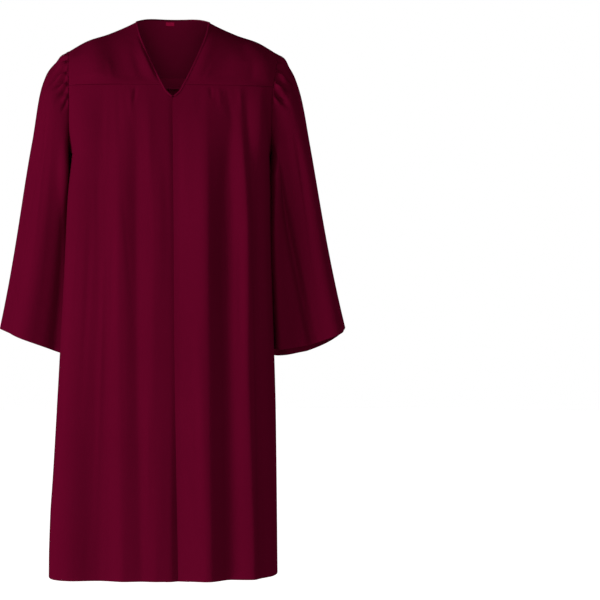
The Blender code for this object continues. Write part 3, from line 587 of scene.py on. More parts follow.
# A short fold between two places, each a distance across and one down, with its width and height
Crease = namedtuple("Crease", "across down across_end down_end width height")


def rows_of(kind, rows):
    """A table's rows as named tuples, from numbers in thousandths."""
    return tuple(kind(*(value / 1000 for value in row)) for row in rows)


FOLD_AT_SEAM = 0.2
FOLD_LEVELS = (0.0, 0.05, 0.45, 1.0)
BEND_PLACE_LEVELS = (0.04, 0.22, 0.62, 0.95)
BEND_HEIGHT_LEVELS = (0.0, 0.05, 0.20, 0.60, 0.86)

FRONT_BENDS = {
    "left": rows_of(Bend, (
        (0, 0, 0, -1.5, -6.5, -10, 2), (14, 12, 8, -1, -5, -8, 5), (60, 63, 64, 3, 12, 12, 8),
        (73, 74, 74, 3, 11.5, 12, 5), (128, 111, 112, -7, -12.5, -13, 6),
        (136, 121, 122, -8, -14, -15, 6), (150, 164, 174, -4.5, 8, 9, 6),
        (170, 180, 192, -8.5, -2, -2, 5), (204, 200, 211, 4.5, -4, -5, 6), (216, 222, 232, 4, 0, -1, 8),
        (224, 246, 258, 2, 0, 0, 10), (234, 268, 282, 0, 0, 0, 10),
    )),
    "right": rows_of(Bend, (
        (0, 0, 0, -3.5, -8.5, -12, 2), (9, 9, 15, -0.5, -4.8, -2.2, 4), (58, 48, 46, 0, -2, 0, 6),
        (77, 80, 76, -4, -13, -8.5, 5), (96, 103, 108, -4.5, -6.5, -3, 6),
        (118, 120, 116, -7, -5.5, -2, 5), (150, 147, 143, -13, -15, -12, 6),
        (166, 167, 165, -11, -16.5, -14.5, 6), (190, 190, 190, -6, -11.5, -9, 10),
        (206, 217, 222, -2, -2.5, 11, 10), (222, 242, 258, 0, 5, 23, 12), (238, 270, 310, 0, 0, 6, 12),
    )),
}
BACK_FOLDS = {
    "left": rows_of(Fold, (
        (37, 34, 12, -3.2, -8, -8), (57, 54, 9, 2.4, 7.2, 7.2), (84, 80, 11, 3.2, 11.2, 12.8),
        (106, 103, 9, -2.4, -7.2, -7.2), (125, 120, 12, 3.2, 9.6, 9.6),
        (166, 164, 12, -6.4, -20.8, -27.2), (190, 192, 12, 3.2, 9.6, 9.6),
    )),
    "right": rows_of(Fold, (
        (10, 12, 16, 3.2, 8, 9.6), (36, 40, 10, -4.8, -15.2, -15.2), (88, 92, 24, 3.2, 9.6, 14.4),
        (148, 146, 24, -1.6, -8.8, -12.8), (188, 186, 12, 2.4, 8.8, 7.2),
    )),
}

# %% Crease tables
FRONT_CREASES = {
    "left": rows_of(Crease, (
        (82, 152, 84, 190, 4, -1.6), (100, 152, 106, 215, 6, 1.4), (118, 152, 134, 260, 8, -1.4),
        (150, 152, 158, 230, 6, 1.2), (60, 156, 54, 240, 10, -1), (26, 200, 24, 520, 12, 1.2),
        (120, 330, 124, 720, 6, 1.4), (148, 420, 146, 900, 7, -1.4), (52, 640, 60, 1226, 10, 1.4),
        (176, 520, 180, 1226, 6, 1.8),
    )),
    "right": rows_of(Crease, (
        (80, 152, 86, 205, 4, -1.8), (94, 152, 90, 240, 6, 1.2), (118, 152, 116, 330, 7, -1),
        (146, 160, 150, 420, 7, 1.2), (50, 170, 54, 420, 8, 0.8), (30, 300, 30, 700, 10, 1),
        (132, 420, 140, 820, 6, -1.4), (154, 500, 176, 1226, 7, 1.8), (186, 380, 212, 1000, 8, -1.6),
        (56, 760, 64, 1226, 8, 1.4),
    )),
}
BACK_CREASES = {
    "left": rows_of(Crease, (
        (70, 145, 70, 420, 5, -2), (112, 145, 114, 360, 5, 1.8), (148, 150, 144, 520, 6, 1.8),
        (180, 145, 178, 330, 5, -1.8), (22, 150, 20, 520, 6, 1.4), (136, 600, 134, 1224, 6, -2),
        (70, 700, 66, 1224, 6, -1.8),
    )),
    "right": rows_of(Crease, (
        (24, 145, 24, 420, 5, -1.6), (60, 145, 62, 560, 6, 2), (112, 145, 116, 500, 7, -1.8),
        (132, 150, 132, 460, 6, 1.6), (168, 150, 166, 600, 6, 1.6), (104, 620, 110, 1224, 7, -2),
        (66, 700, 70, 1224, 6, 1.6),
    )),
}
print("creases in front:", {side: len(rows) for side, rows in FRONT_CREASES.items()})


# %% Crease shapes
CREASE_SKEW = 0.7
SLIGHT_SPANS = (0.10, 0.45)
SLIGHT_WIDTHS = (0.5, 1.5)
SLIGHT_HEIGHTS = (0.3, 1.0)
SLIGHT_LEAN = 0.02


def crease_height(creases, across, down):
    """Each crease is a Gaussian across its line, with ends that fade along it as sine squared."""
    height = np.zeros(np.broadcast(across, down).shape)
    for crease in creases:
        share = (down - crease.down) / (crease.down_end - crease.down)
        centre = crease.across + (crease.across_end - crease.across) * share
        fade = np.sin(math.pi * np.clip(share, 0, 1) ** CREASE_SKEW) ** 2
        height += crease.height * fade * bell(across - centre, crease.width)
    return height


def slight_creases(seed, count, across, down, width, height):
    """Small creases strewn by a seeded generator between limits, half of them troughs."""
    draw = np.random.default_rng(seed)
    starts = draw.uniform(*down, count)
    spans = draw.uniform(*SLIGHT_SPANS, count) * (down[1] - down[0])
    places = draw.uniform(*across, count)
    leans = draw.normal(0.0, SLIGHT_LEAN, count)
    widths = draw.uniform(*SLIGHT_WIDTHS, count) * width
    heights = draw.uniform(*SLIGHT_HEIGHTS, count) * height * draw.choice((-1.0, 1.0), count)
    return tuple(Crease(a, d, a + k, d + s, w, h)
                 for a, d, k, s, w, h in zip(places, starts, leans, spans, widths, heights))


# %% [markdown]
# ## The body's plain section
#
# At each drop the cloth is a curve in plan: a cubic Bezier curve that leaves the centre line
# squarely and turns back to the side. Near the armhole it is eased out to the armhole's own edge. A
# loft through drawn outlines could give the same body, but here the folds lift the cloth off that
# curve along its normal, so the curve and its length have to be known at every height. Points are
# placed by distance along it, so cloth keeps its width as it falls.

# %% Sections
EASED_DROPS = (0.11, 0.133, 0.151, 0.183, 0.215, 0.24, 0.27, 0.3, 0.35, 0.43, 0.62, 0.85, 1.226)
EASED_REACH = (0.0684, 0.0791, 0.0841, 0.0875, 0.0872, 0.085, 0.079, 0.069, 0.058, 0.05, 0.042, 0.04, 0.042)
EDGE_EASE = 0.055
CORNER = 0.80
CORNER_LENGTH = 0.045
CORNER_FADES = 0.52
LAP_STARTS = (V_POINT, V_POINT + 0.02)


def armhole_reach(drop):
    """Half the armhole's depth at a drop: its outline is an ellipse above and squarer below."""
    level = np.clip((drop - ARMHOLE_CENTRE_DROP) / ARMHOLE_HALF_HEIGHT, -1.0, 1.0)
    power = np.where(level > 0, ARMHOLE_SQUARE, 2.0)
    return ARMHOLE_HALF_DEPTH * (1 - np.abs(level) ** power) ** (1 / power)


def girth(name, drops):
    """One of the body's measures at each drop."""
    return curve(drops, GIRTH_DROPS, GIRTHS[name])


def section_curves(face, side, drops):
    """The plain section at each drop, from the centre line to the armhole or side seam."""
    forward = FORWARD[face]
    centre_y = forward * girth(face, drops)
    in_armhole = drops < UNDERARM
    eased_x = girth(f"{face}_{side}", drops)
    true_x = np.where(in_armhole, SHOULDER_HALF, eased_x)
    reach = np.maximum(np.where(in_armhole, armhole_reach(drops), 0.0), SEAM_GAP / 2)
    eased = curve(drops, EASED_DROPS, EASED_REACH)
    end_y = SHOULDER_Y + forward * eased
    turned = ramp(TURN_STARTS, TURNED_DROP, drops)
    slant = SHOULDER_SLANT + (math.radians(90) - SHOULDER_SLANT) * turned
    first = eased_x * (FLAT_SHARE_TOP + (FLAT_SHARE_LOW - FLAT_SHARE_TOP) * turned)
    rounding_low = ROUNDING_SHARE_LOW * (np.abs(centre_y) + SHOULDER_Y)
    last = ROUNDING_TOP + (rounding_low - ROUNDING_TOP) * turned
    t = np.linspace(0, 1, SECTION_STEPS)[None, :]
    xs = (0 * eased_x, first, eased_x - last * np.cos(slant), eased_x)
    ys = (centre_y, centre_y, end_y + forward * last * np.sin(slant), end_y)
    at_edge = bell(1 - t, EDGE_EASE)
    x = bezier(t, *(value[:, None] for value in xs)) + (true_x - eased_x)[:, None] * at_edge
    y = bezier(t, *(value[:, None] for value in ys)) + forward * (reach - eased)[:, None] * at_edge
    return OUTWARD[side] * x, y


def running_lengths(x, y):
    """Distances along each row of plan curves."""
    steps = np.hypot(np.diff(x, axis=1), np.diff(y, axis=1))
    return np.concatenate((np.zeros((len(x), 1)), np.cumsum(steps, axis=1)), axis=1)


# %% Fold relief
def fold_relief(folds, distance, drops):
    """Rounded folds, each a Gaussian across its line: height * exp(-(offset / width)^2)."""
    fall = (drops - FRONT_SEAM) / (LENGTH - FRONT_SEAM)
    height = np.zeros_like(distance)
    for fold in folds:
        centre = fold.top + (fold.hem - fold.top) * fall
        sizes = FOLD_AT_SEAM * fold.near_yoke, fold.near_yoke, fold.middle, fold.at_hem
        height += curve(fall, FOLD_LEVELS, sizes)[:, None] * bell(distance - centre[:, None], fold.width)
    return height


def bend_relief(bends, distance, drops):
    """Flat stretches between bends. Each bend adds its change of slope times (x + sqrt(x^2 + r^2)) / 2,
    where x is the distance past it and r its roundness."""
    fall = (drops - FRONT_SEAM) / (LENGTH - FRONT_SEAM)
    places = [curve(fall, BEND_PLACE_LEVELS, (bend.top, bend.middle, bend.middle, bend.hem))
              for bend in bends]
    heights = [curve(fall, BEND_HEIGHT_LEVELS, (FOLD_AT_SEAM * bend.near_yoke, bend.near_yoke, bend.half_way,
                                                bend.half_way, bend.low)) for bend in bends]
    slopes = [(high - low) / (far - near)
              for near, far, low, high in zip(places, places[1:], heights, heights[1:])]
    slopes = [0 * fall, *slopes, 0 * fall]
    relief = heights[0][:, None] + 0 * distance
    for bend, place, before, after in zip(bends, places, slopes, slopes[1:]):
        past = distance - place[:, None]
        relief += (after - before)[:, None] * (past + np.sqrt(past ** 2 + bend.rounding ** 2)) / 2
    return relief


# %% Half panels
def across_panel(share, face, side, drops):
    """Distances for shares of a half panel, its part beyond the corner on a scale of its own."""
    lengths = running_lengths(*section_curves(face, side, drops))
    inner = lengths[:, int(CORNER * SECTION_STEPS)][:, None]
    beyond = (lengths[:, -1:] - inner) * (share - CORNER) / (1 - CORNER)
    return np.where(share < CORNER, inner * share / CORNER, inner + beyond)


def drawn_in(side, points):
    """Points near the armhole moved toward the body: its edge curves inward below the shoulder."""
    out = np.abs(points[..., 0]) - SHOULDER_HALF
    drops = -points[..., 2]
    near = bell(out, np.where(out < 0, *SCOOP_WIDTHS))
    level = ramp(*SCOOP_STARTS, drops) * (1 - ramp(*SCOOP_ENDS, drops))
    moved = points.copy()
    moved[..., 0] -= np.sign(points[..., 0]) * SCOOPS[side] * near * level
    return moved


def hang(face, side, drops, distances, relief):
    """A half panel's points: the plain section, lifted by its relief and hollowed at the side."""
    x, y = section_curves(face, side, drops)
    lengths = running_lengths(x, y)
    along_x = np.gradient(x, axis=1)
    along_y = np.gradient(y, axis=1)
    speed = np.hypot(along_x, along_y)
    px, py, tangent_x, tangent_y = (
        np.stack([np.interp(*row) for row in zip(distances, lengths, values)])
        for values in (x, y, along_x / speed, along_y / speed))
    from_side = lengths[:, -1:] - distances
    fold_out = girth(f"{face}_{side}", drops) - girth(f"seam_{side}", drops)
    hollow = (fold_out * ramp(*SIDE_HOLLOW_STARTS, drops))[:, None] * bell(from_side, SIDE_HOLLOW_WIDTH)
    corner = lengths[:, int(CORNER * SECTION_STEPS)]
    free_to = corner + CORNER_LENGTH + (lengths[:, -1] - corner) * ramp(UNDERARM, CORNER_FADES, drops)
    fade = ramp(0.0, SEAM_FLAT_WIDTH, np.minimum(lengths[:, -1], free_to)[:, None] - distances)
    height = -FORWARD[face] * OUTWARD[side] * (relief * fade - hollow)
    px = px + tangent_y * height
    py = py - tangent_x * height
    if face == "front":
        px = px + girth("closure", drops)[:, None] * np.clip(1 - np.abs(px) / SHOULDER_HALF, 0, 1)
        lap = CLOSURE_LAP * bell(distances, CLOSURE_LAP_WIDTH) * ramp(*LAP_STARTS, drops)[:, None]
        px = px - OUTWARD[side] * lap
    near_side = bell(from_side, HEM_LIFT_WIDTH)
    lift = HEM_SIDE_LIFT * near_side * ramp(HEM_LIFT_STARTS, LENGTH, drops)[:, None]
    return drawn_in(side, at_points(px, py, lift - drops[:, None]))


# %% [markdown]
# ## The fronts
#
# Each front is a straight length of cloth, pleated into its yoke and pressed. Its inner edge is
# turned back. Both edges reach a millimetre past the centre line, the left one in front of the right.
# The hem is turned up inside. Each front is one grid, so a fold runs unbroken from the yoke to the
# hem. A finer grid everywhere would be heavy, so its rows lie close together only under the yoke seam
# and at the underarm, where the cloth does most.

# %% Fronts
UNDERARM_ROWS = UNDERARM - ARMHOLE_HALF_HEIGHT * (1 - np.cos(np.linspace(0.02, 0.42, 12)))[::-1]
YOKE_EASE = (0.0, 0.012)
CLOSURE_EASE = (0.0, 0.022)
CLOSE_ROWS = 0.045
HIP = 0.62
ROW_ROOM = 0.0005
FRONT_SEEDS = {"left": 11, "right": 12}


def panel_rows(top, bottom):
    """Drops from the yoke seam to the hem, with more of them at the seam and the underarm."""
    rows = spaced((top, 26), (top + CLOSE_ROWS, 34), (UNDERARM, 50), (HIP, 30), (bottom, 1))
    rows = rows[(rows < UNDERARM_ROWS[0]) | (rows > UNDERARM - ROW_ROOM)]
    return with_edges(np.sort(np.concatenate((rows, UNDERARM_ROWS))), SEAM, HEM)


def front_surface(side):
    """A front as a function of the distance across from the closure, in shares, and of the drop."""
    slight = slight_creases(FRONT_SEEDS[side], 30, across=(0.01, 0.24), down=(0.16, 1.15),
                            width=0.010, height=0.0006)
    creases = FRONT_CREASES[side] + slight

    def surface(share, drops):
        rows = drops[:, 0]
        distance = across_panel(share, "front", side, rows)
        cut = np.where(rows < V_POINT, curve(rows, NECK_DROPS, NECK_HALVES), 0.0)[:, None]
        distance = distance + cut * np.clip(1 - distance / NECK_CUT_WIDTH, 0, 1)
        free = ramp(*YOKE_EASE, drops - FRONT_SEAM) * ramp(*CLOSURE_EASE, distance)
        relief = bend_relief(FRONT_BENDS[side], distance, rows)
        return hang("front", side, rows, distance, relief + crease_height(creases, distance, drops) * free)
    return surface


FRONT_WIDTH = 0.29
rows = panel_rows(FRONT_SEAM + SEAM_GAP / 2, LENGTH)
places, inset = with_edges(np.linspace(0, FRONT_WIDTH, 172), edge_turn(TURN, CLOSURE_FACING), SEAM)
for side in ("right", "left"):
    front = sewn(f"front_cloth_{side}", front_surface(side), (places / FRONT_WIDTH, inset), rows, from_chest)
    dress(front, f"front_{side}")

# %% [markdown]
# ## The back
#
# The back is one width of cloth, gathered into its yoke: twenty-two small valleys under the seam
# that run together into a few large folds further down. A plain wave would space them evenly, which
# gathers never are, so each has a place, a depth and a reach. A cosine wave whose phase counts the
# valleys sets them at those places, and each fades as exp(-(distance/reach)^2) below the seam.

# %% Back
GATHER_PLACES = (-0.838, -0.737, -0.644, -0.552, -0.433, -0.377, -0.267, -0.193, -0.092, -0.018, 0.054,
                 0.166, 0.23, 0.304, 0.396, 0.442, 0.515, 0.56, 0.654, 0.718, 0.773, 0.838)
GATHER_DEPTHS = (0.002, 0.0025, 0.0022, 0.002, 0.0017, 0.0017, 0.002, 0.0022, 0.0024, 0.002, 0.0015,
                 0.002, 0.0016, 0.0022, 0.0016, 0.0015, 0.0013, 0.0013, 0.0022, 0.0017, 0.0017, 0.002)
GATHER_REACHES = (0.03, 0.035, 0.05, 0.025, 0.06, 0.045, 0.03, 0.055, 0.09, 0.04, 0.025,
                  0.08, 0.03, 0.05, 0.06, 0.045, 0.03, 0.045, 0.1, 0.04, 0.055, 0.03)
GATHER_AT_SEAM = 0.25
GATHER_OPEN = 0.012
BACK_BLEND = (-0.03, 0.03)


def gather_height(across, below):
    """Gathers under the back yoke: a wave with a valley at each place, fading down the cloth."""
    places = np.array((-1.0, *GATHER_PLACES, 1.0))
    phase = np.interp(across, places, np.arange(len(places), dtype=float))
    depth = curve(across, GATHER_PLACES, GATHER_DEPTHS)
    reach = curve(across, GATHER_PLACES, GATHER_REACHES)
    opened = GATHER_AT_SEAM + (1 - GATHER_AT_SEAM) * ramp(0.0, GATHER_OPEN, below)
    return -depth * opened * bell(below, reach) * np.cos(2 * math.pi * phase)


def back_seam_rise(x, drops):
    """How much higher than at the armhole the back yoke's seam lies, fading below it."""
    rise = BACK_SEAM_RISE * np.clip(1 - (x / SHOULDER_HALF) ** 2, 0, 1)
    return rise * (1 - ramp(BACK_SEAM, BACK_RISE_ENDS, drops))


# %% Back cloth
slight_back = {
    side: BACK_CREASES[side] + slight_creases(seed, 46, across=(0.01, 0.23), down=(0.15, 1.15),
                                              width=0.008, height=0.0009)
    for side, seed in (("right", 21), ("left", 22))
}


def back_surface(across, drops):
    """The back, from -1 at the right armhole or side seam to 1 at the left, blended at its centre."""
    rows = drops[:, 0]
    halves = {}
    for side in ("right", "left"):
        distance = across_panel(np.abs(across), "back", side, rows)
        relief = fold_relief(BACK_FOLDS[side], distance, rows) + gather_height(across, drops - BACK_SEAM)
        free = ramp(*YOKE_EASE, drops - BACK_SEAM)
        relief = relief + crease_height(slight_back[side], distance, drops) * free
        halves[side] = hang("back", side, rows, distance, relief)
        halves[side][..., 0] = np.abs(halves[side][..., 0]) * np.sign(across)
    blend = ramp(*BACK_BLEND, across)[..., None]
    points = halves["right"] * (1 - blend) + halves["left"] * blend
    points[..., 2] += back_seam_rise(points[..., 0], drops)
    return points


BACK_WIDTH = 0.54
places, inset = with_edges(np.linspace(0, BACK_WIDTH, 282), SEAM, SEAM)
back = sewn("back_cloth", back_surface, (2 * places / BACK_WIDTH - 1, inset),
            panel_rows(BACK_SEAM + SEAM_GAP / 2, BACK_LENGTH), from_chest)
dress(back, "back_panel")

# %% [markdown]
# ## The yokes
#
# A yoke is the flat-cut piece that carries the rest. It arches from its seam up to the shoulder, and
# along the V it is drawn to the neck edge. A flat piece could be bent over a form, but it has to meet
# its neighbours on four sides, so it is worked out between them. Its height and depth follow an arc of
# an ellipse, so the arches next to the armhole match its edge.

# %% Yoke shapes
NECK_CURVE_Y = 2.4
NECK_CURVE_Z = 4
YOKE_LEAN = math.radians(42)
YOKE_LEAN_ENDS = (0.25, 0.55)
PUFF_FORWARD = 0.8
PUFF_UP = 0.6
YOKE_FLAT_EDGES = (0.05, 0.10, 0.12, 0.15)


def shoulder_line(x):
    """The shoulder seam at a distance from the centre: its y and z, with the neck's edge inside it."""
    x = np.abs(x)
    along = np.clip((x - NECK_HALF) / (SHOULDER_HALF - NECK_HALF), 0, 1)
    across = np.clip(x / NECK_HALF, 0, 1)
    y = np.where(x < NECK_HALF, NECK_BACK_DEPTH * (1 - across ** NECK_CURVE_Y), SHOULDER_Y * along)
    fall = curve(x - NECK_HALF, SHOULDER_OUT, SHOULDER_FALL)
    z = np.where(x < NECK_HALF, NECK_BACK_RISE * (1 - across ** NECK_CURVE_Z), -fall)
    return y, z


# %% Yoke arches
SEAM_CURVES = {
    face: section_curves(face, "left", np.array((drop,)))
    for face, drop in (("front", FRONT_SEAM), ("back", BACK_SEAM))
}


def seam_y(face, x):
    """Where a yoke's lower seam lies in front of or behind the origin, at a distance from the centre."""
    return np.interp(np.abs(x), SEAM_CURVES[face][0][0], SEAM_CURVES[face][1][0])


def arch(low, high, start_angle, end_angle, t):
    """An arc of an ellipse from a low point to a high one: its y and z at shares t of the way."""
    angle = start_angle + (end_angle - start_angle) * t
    share_y = (np.sin(start_angle) - np.sin(angle)) / (np.sin(start_angle) - np.sin(end_angle))
    share_z = (np.cos(angle) - np.cos(start_angle)) / (np.cos(end_angle) - np.cos(start_angle))
    return low[0] + (high[0] - low[0]) * share_y, low[1] + (high[1] - low[1]) * share_z


def armhole_angle(drop):
    """The angle round the armhole's ellipse, from its top, of a drop."""
    return np.arccos((ARMHOLE_CENTRE_DROP - drop) / ARMHOLE_HALF_HEIGHT)


def front_yoke_arch(a, b):
    """The arch of a front yoke from its seam to the shoulder seam: its y and z."""
    low_x = (1 - a) * curve(FRONT_SEAM, NECK_DROPS, NECK_HALVES) + a * SHOULDER_HALF
    high_x = (1 - a) * NECK_HALF + a * SHOULDER_HALF
    low = seam_y("front", low_x), -FRONT_SEAM
    return arch(low, shoulder_line(high_x), armhole_angle(FRONT_SEAM), 0.0, b)


YOKE_CREASES = {
    "left": rows_of(Crease, (
        (120, -100, 80, 950, 80, 3.6), (360, -50, 400, 900, 130, -3.6), (600, 300, 460, 1000, 110, -3),
        (950, -100, 800, 900, 160, 8), (740, 20, 700, 400, 50, -1.4), (200, 20, 240, 350, 30, 1),
    )),
    "right": rows_of(Crease, (
        (60, -50, 30, 850, 60, 4.5), (190, 0, 170, 600, 50, -1.8), (400, -100, 360, 950, 150, -4),
        (700, -200, 620, 850, 170, 6.2), (520, 20, 500, 400, 40, 1.2), (880, 450, 700, 1000, 100, -3),
    )),
}


def front_yoke_surface(side):
    """A front yoke: a runs from the V to the armhole, b from its seam to the shoulder."""
    def surface(a, b):
        a = np.clip(a, 0, 1)
        b = np.clip(b, 0, 1)
        v_drop = FRONT_SEAM * (1 - b)
        v_x = curve(v_drop, NECK_DROPS, NECK_HALVES)
        v_y = -curve(v_drop, NECK_DROPS, NECK_FORWARD)
        y, z = front_yoke_arch(a, b)
        edge_y, edge_z = front_yoke_arch(0 * a, b)
        near = (1 - a) ** 3
        x = (1 - a) * v_x + a * SHOULDER_HALF
        y = np.minimum(y + near * (v_y - edge_y), SHOULDER_Y * a - SEAM_GAP / 2)
        z = z + near * (-v_drop - edge_z)
        puff = crease_height(YOKE_CREASES[side], a, b)
        for width, share in zip(YOKE_FLAT_EDGES, (a, 1 - a, b, 1 - b)):
            puff = puff * ramp(0, width, share)
        return drawn_in(side, at_points(OUTWARD[side] * x, y - PUFF_FORWARD * puff, z + PUFF_UP * puff))
    return surface


def back_yoke_surface(a, b):
    """The back yoke: a runs across from -1 to 1, b from its seam to the neck edge."""
    a = np.clip(a, -1, 1)
    b = np.clip(b, 0, 1)
    x = a * SHOULDER_HALF
    low_z = -BACK_SEAM + back_seam_rise(x, BACK_SEAM)
    high_y, high_z = shoulder_line(x)
    end = YOKE_LEAN * (1 - ramp(*YOKE_LEAN_ENDS, np.abs(a)))
    y, z = arch((seam_y("back", x), low_z), (high_y, high_z), armhole_angle(BACK_SEAM), end, b)
    points = at_points(x, np.maximum(y, high_y + SEAM_GAP / 2), z)
    return np.where(x[..., None] < 0, drawn_in("right", points), drawn_in("left", points))


# %% Yokes
YOKE_WIDTH = 0.20
YOKE_HEIGHT = 0.17
places, inset = with_edges(np.linspace(0, YOKE_HEIGHT, 70), SEAM, HALF_SEAM)
rows = places / YOKE_HEIGHT, inset
places, inset = with_edges(np.linspace(0, YOKE_WIDTH, 90), None, SEAM)
yokes = {}
for side in ("right", "left"):
    yoke = sewn(f"front_yoke_cloth_{side}", front_yoke_surface(side), (places / YOKE_WIDTH, inset), rows,
                from_chest)
    yokes[side] = dress(yoke, f"front_yoke_{side}")
places, inset = with_edges(np.linspace(0, 2 * SHOULDER_HALF, 200), SEAM, SEAM)
yokes["back"] = sewn("back_yoke_cloth", back_yoke_surface, (places / SHOULDER_HALF - 1, inset), rows,
                     from_chest)
dress(yokes["back"], "back_yoke")

# %% [markdown]
# ## The sleeves
#
# A sleeve is a tube from the armhole's ring to the cuff's, both ellipses above and squarer below.
# Round the tube, every line from head to cuff is a cubic Bezier curve. Turns count round it: 0 is the
# top, 0.25 the front and 0.5 the underarm. The head is gathered into the armhole, so short puckers
# fan out from the seam. The underarm tucks in to the hollow of the side seam. A cylinder bent to
# shape would do for the tube, but its ends would meet neither the armhole nor the cuff exactly.

# %% Sleeve sizes
# A cuff's ring: its centre, and how far it reaches outward, up, forward and back
Cuff = namedtuple("Cuff", "out back drop half_width outer_lift front rear rear_drop front_drop inner_lift")
# A sleeve curve's handle: outward, forward and up, with what the top and the underarm add
Handle = namedtuple("Handle", "out out_top out_under forward up up_top up_under")
# A fold down a sleeve: its turns at the head, half way and the cuff, its width and three heights
SleeveFold = namedtuple("SleeveFold", "turn_head turn_middle turn_cuff width head middle cuff")

CUFFS = {
    "right": Cuff(0.304, 0.034, 0.712, 0.080, 0.029, 0.074, 0.080, 0.006, 0.004, 0.029),
    "left": Cuff(0.308, 0.034, 0.710, 0.082, 0.027, 0.074, 0.080, 0.028, 0.009, 0.015),
}
CUFF_SQUARE = {"right": 3.0, "left": 5.0}
CUFF_FRONT_CURVE = 1.5
HEAD_LEAVE = {
    "right": Handle(0.045, 0.040, -0.025, -0.012, -0.075, 0.025, -0.050),
    "left": Handle(0.045, 0.033, -0.025, -0.012, -0.075, 0.025, -0.050),
}
CUFF_ARRIVE = {
    "right": Handle(0.045, 0.026, -0.040, -0.006, -0.330, 0.000, 0.000),
    "left": Handle(0.045, 0.037, -0.040, -0.006, -0.330, 0.000, 0.000),
}

# %% Sleeve folds
SLEEVE_TURN_LEVELS = (0.0, 0.55, 1.0)
SLEEVE_FOLD_LEVELS = (0.0, 0.20, 0.60, 1.0)
SLEEVE_GATHERS = 15
SLEEVE_GATHER_HEIGHT = 0.0016
SLEEVE_GATHER_DRIFT = 0.2
SLEEVE_GATHER_REACH = 0.16
SLEEVE_GATHER_ENDS = (0.16, 0.25)
SLEEVE_OPEN = 0.03
REAR_CREASE_SHIFT = 0.012
HEAD_PUFF = {"right": 0.008, "left": 0.004}
HEAD_PUFF_RISE = (0.08, 0.22)
HEAD_PUFF_FALL = (0.26, 0.50)
HEAD_FLAT = (-0.002, 0.004)
UNDERARM_FILLS = {"right": 0.004, "left": 0.020}
UNDERARM_FILL_TURN = 0.42
UNDERARM_FILL_WIDTH = 0.060
UNDERARM_FILL_RISE = (0.0, 0.22)
UNDERARM_TUCKS = {"right": 0.013, "left": 0.020}
UNDERARM_TUCK_TURN = 0.50
UNDERARM_TUCK_WIDTH = 0.055
UNDERARM_TUCK_RISE = (0.0, 0.12)
UNDERARM_TUCK_FALL = (0.60, 1.00)

SLEEVE_FOLDS = {
    "right": rows_of(SleeveFold, (
        (380, 380, 350, 50, 10, -4, -12), (260, 230, 200, 50, 2, 6, 8), (80, 60, 50, 25, 0, 4, 4),
        (140, 130, 120, 22, -2, -3, -3), (640, 660, 680, 40, 0, -6, -10), (800, 800, 800, 50, 0, 3, 6),
    )),
    "left": rows_of(SleeveFold, (
        (400, 325, 245, 22, -4, -11, -13), (440, 400, 360, 40, 2, 4, 3), (190, 160, 140, 50, 3, 15, 18),
        (80, 60, 50, 30, 0, -3, -3), (640, 650, 660, 40, 0, -7, -12), (820, 810, 800, 50, 0, 3, 6),
    )),
}
SLEEVE_CREASES = {
    "right": rows_of(Crease, (
        (30, 0, 20, 130, 9, -4.5), (62, 0, 45, 150, 11, 5), (92, 0, 58, 230, 10, -8),
        (120, 0, 80, 180, 11, 6.5), (146, 0, 92, 290, 12, -10), (166, 0, 122, 200, 10, 7.5),
        (184, 0, 130, 240, 10, -9.5), (202, 0, 170, 150, 9, 6), (219, 0, 178, 200, 9, -7),
        (238, 0, 216, 120, 8, 4), (252, 0, 236, 160, 9, -4.5), (160, 240, 150, 700, 16, -2.4),
        (200, 300, 190, 950, 14, 3), (90, 400, 80, 1050, 12, 2.4),
    )),
    "left": rows_of(Crease, (
        (28, 0, 18, 120, 8, -4.5), (58, 0, 40, 170, 11, 5), (88, 0, 52, 240, 11, -8.5),
        (116, 0, 82, 160, 10, 6), (140, 0, 90, 260, 12, -9.5), (162, 0, 120, 190, 10, 7),
        (182, 0, 140, 220, 10, -9), (200, 0, 164, 160, 9, 6.5), (218, 0, 184, 250, 10, -8),
        (238, 0, 216, 140, 8, 4.5), (130, 240, 120, 800, 14, 2.6), (210, 300, 190, 1000, 12, -2.4),
        (70, 380, 60, 1050, 12, 2.4),
    )),
}
print("sleeve folds:", {side: len(rows) for side, rows in SLEEVE_FOLDS.items()})


# %% Plain sleeve
def squared(top, fore, power):
    """How far a ring reaches forward at each height: an ellipse above, a squarer curve below."""
    below = np.sign(fore) * (1 - np.clip(-top, 0, 1) ** power) ** (1 / power)
    return np.where(top < 0, below, fore)


def sleeve_plain(side, turns, stations):
    """The sleeve without folds: a cubic Bezier curve from armhole to cuff at every turn."""
    cuff = CUFFS[side]
    top = np.cos(2 * math.pi * turns)
    fore = np.sin(2 * math.pi * turns)
    upper = np.clip(top, 0, 1)
    lower = np.clip(-top, 0, 1)
    head_fore = squared(top, fore, ARMHOLE_SQUARE)
    fore = squared(top, fore, CUFF_SQUARE[side])
    head = at_points(SHOULDER_HALF + SEAM_GAP / 2, SHOULDER_Y - ARMHOLE_HALF_DEPTH * head_fore,
                     -ARMHOLE_CENTRE_DROP + ARMHOLE_HALF_HEIGHT * top)
    end = at_points(
        cuff.out + cuff.half_width * top,
        cuff.back - np.where(fore > 0, cuff.front, cuff.rear) * fore,
        -cuff.drop + np.where(top > 0, cuff.outer_lift, cuff.inner_lift) * top
        - cuff.rear_drop * np.clip(-fore, 0, 1) - cuff.front_drop * np.clip(fore, 0, 1) ** CUFF_FRONT_CURVE)
    leave, arrive = (
        at_points(handle.out + handle.out_top * upper + handle.out_under * lower, handle.forward * fore,
                  handle.up + handle.up_top * upper + handle.up_under * lower)
        for handle in (HEAD_LEAVE[side], CUFF_ARRIVE[side]))
    return bezier(stations[..., None], head, head + leave, end - arrive, end)


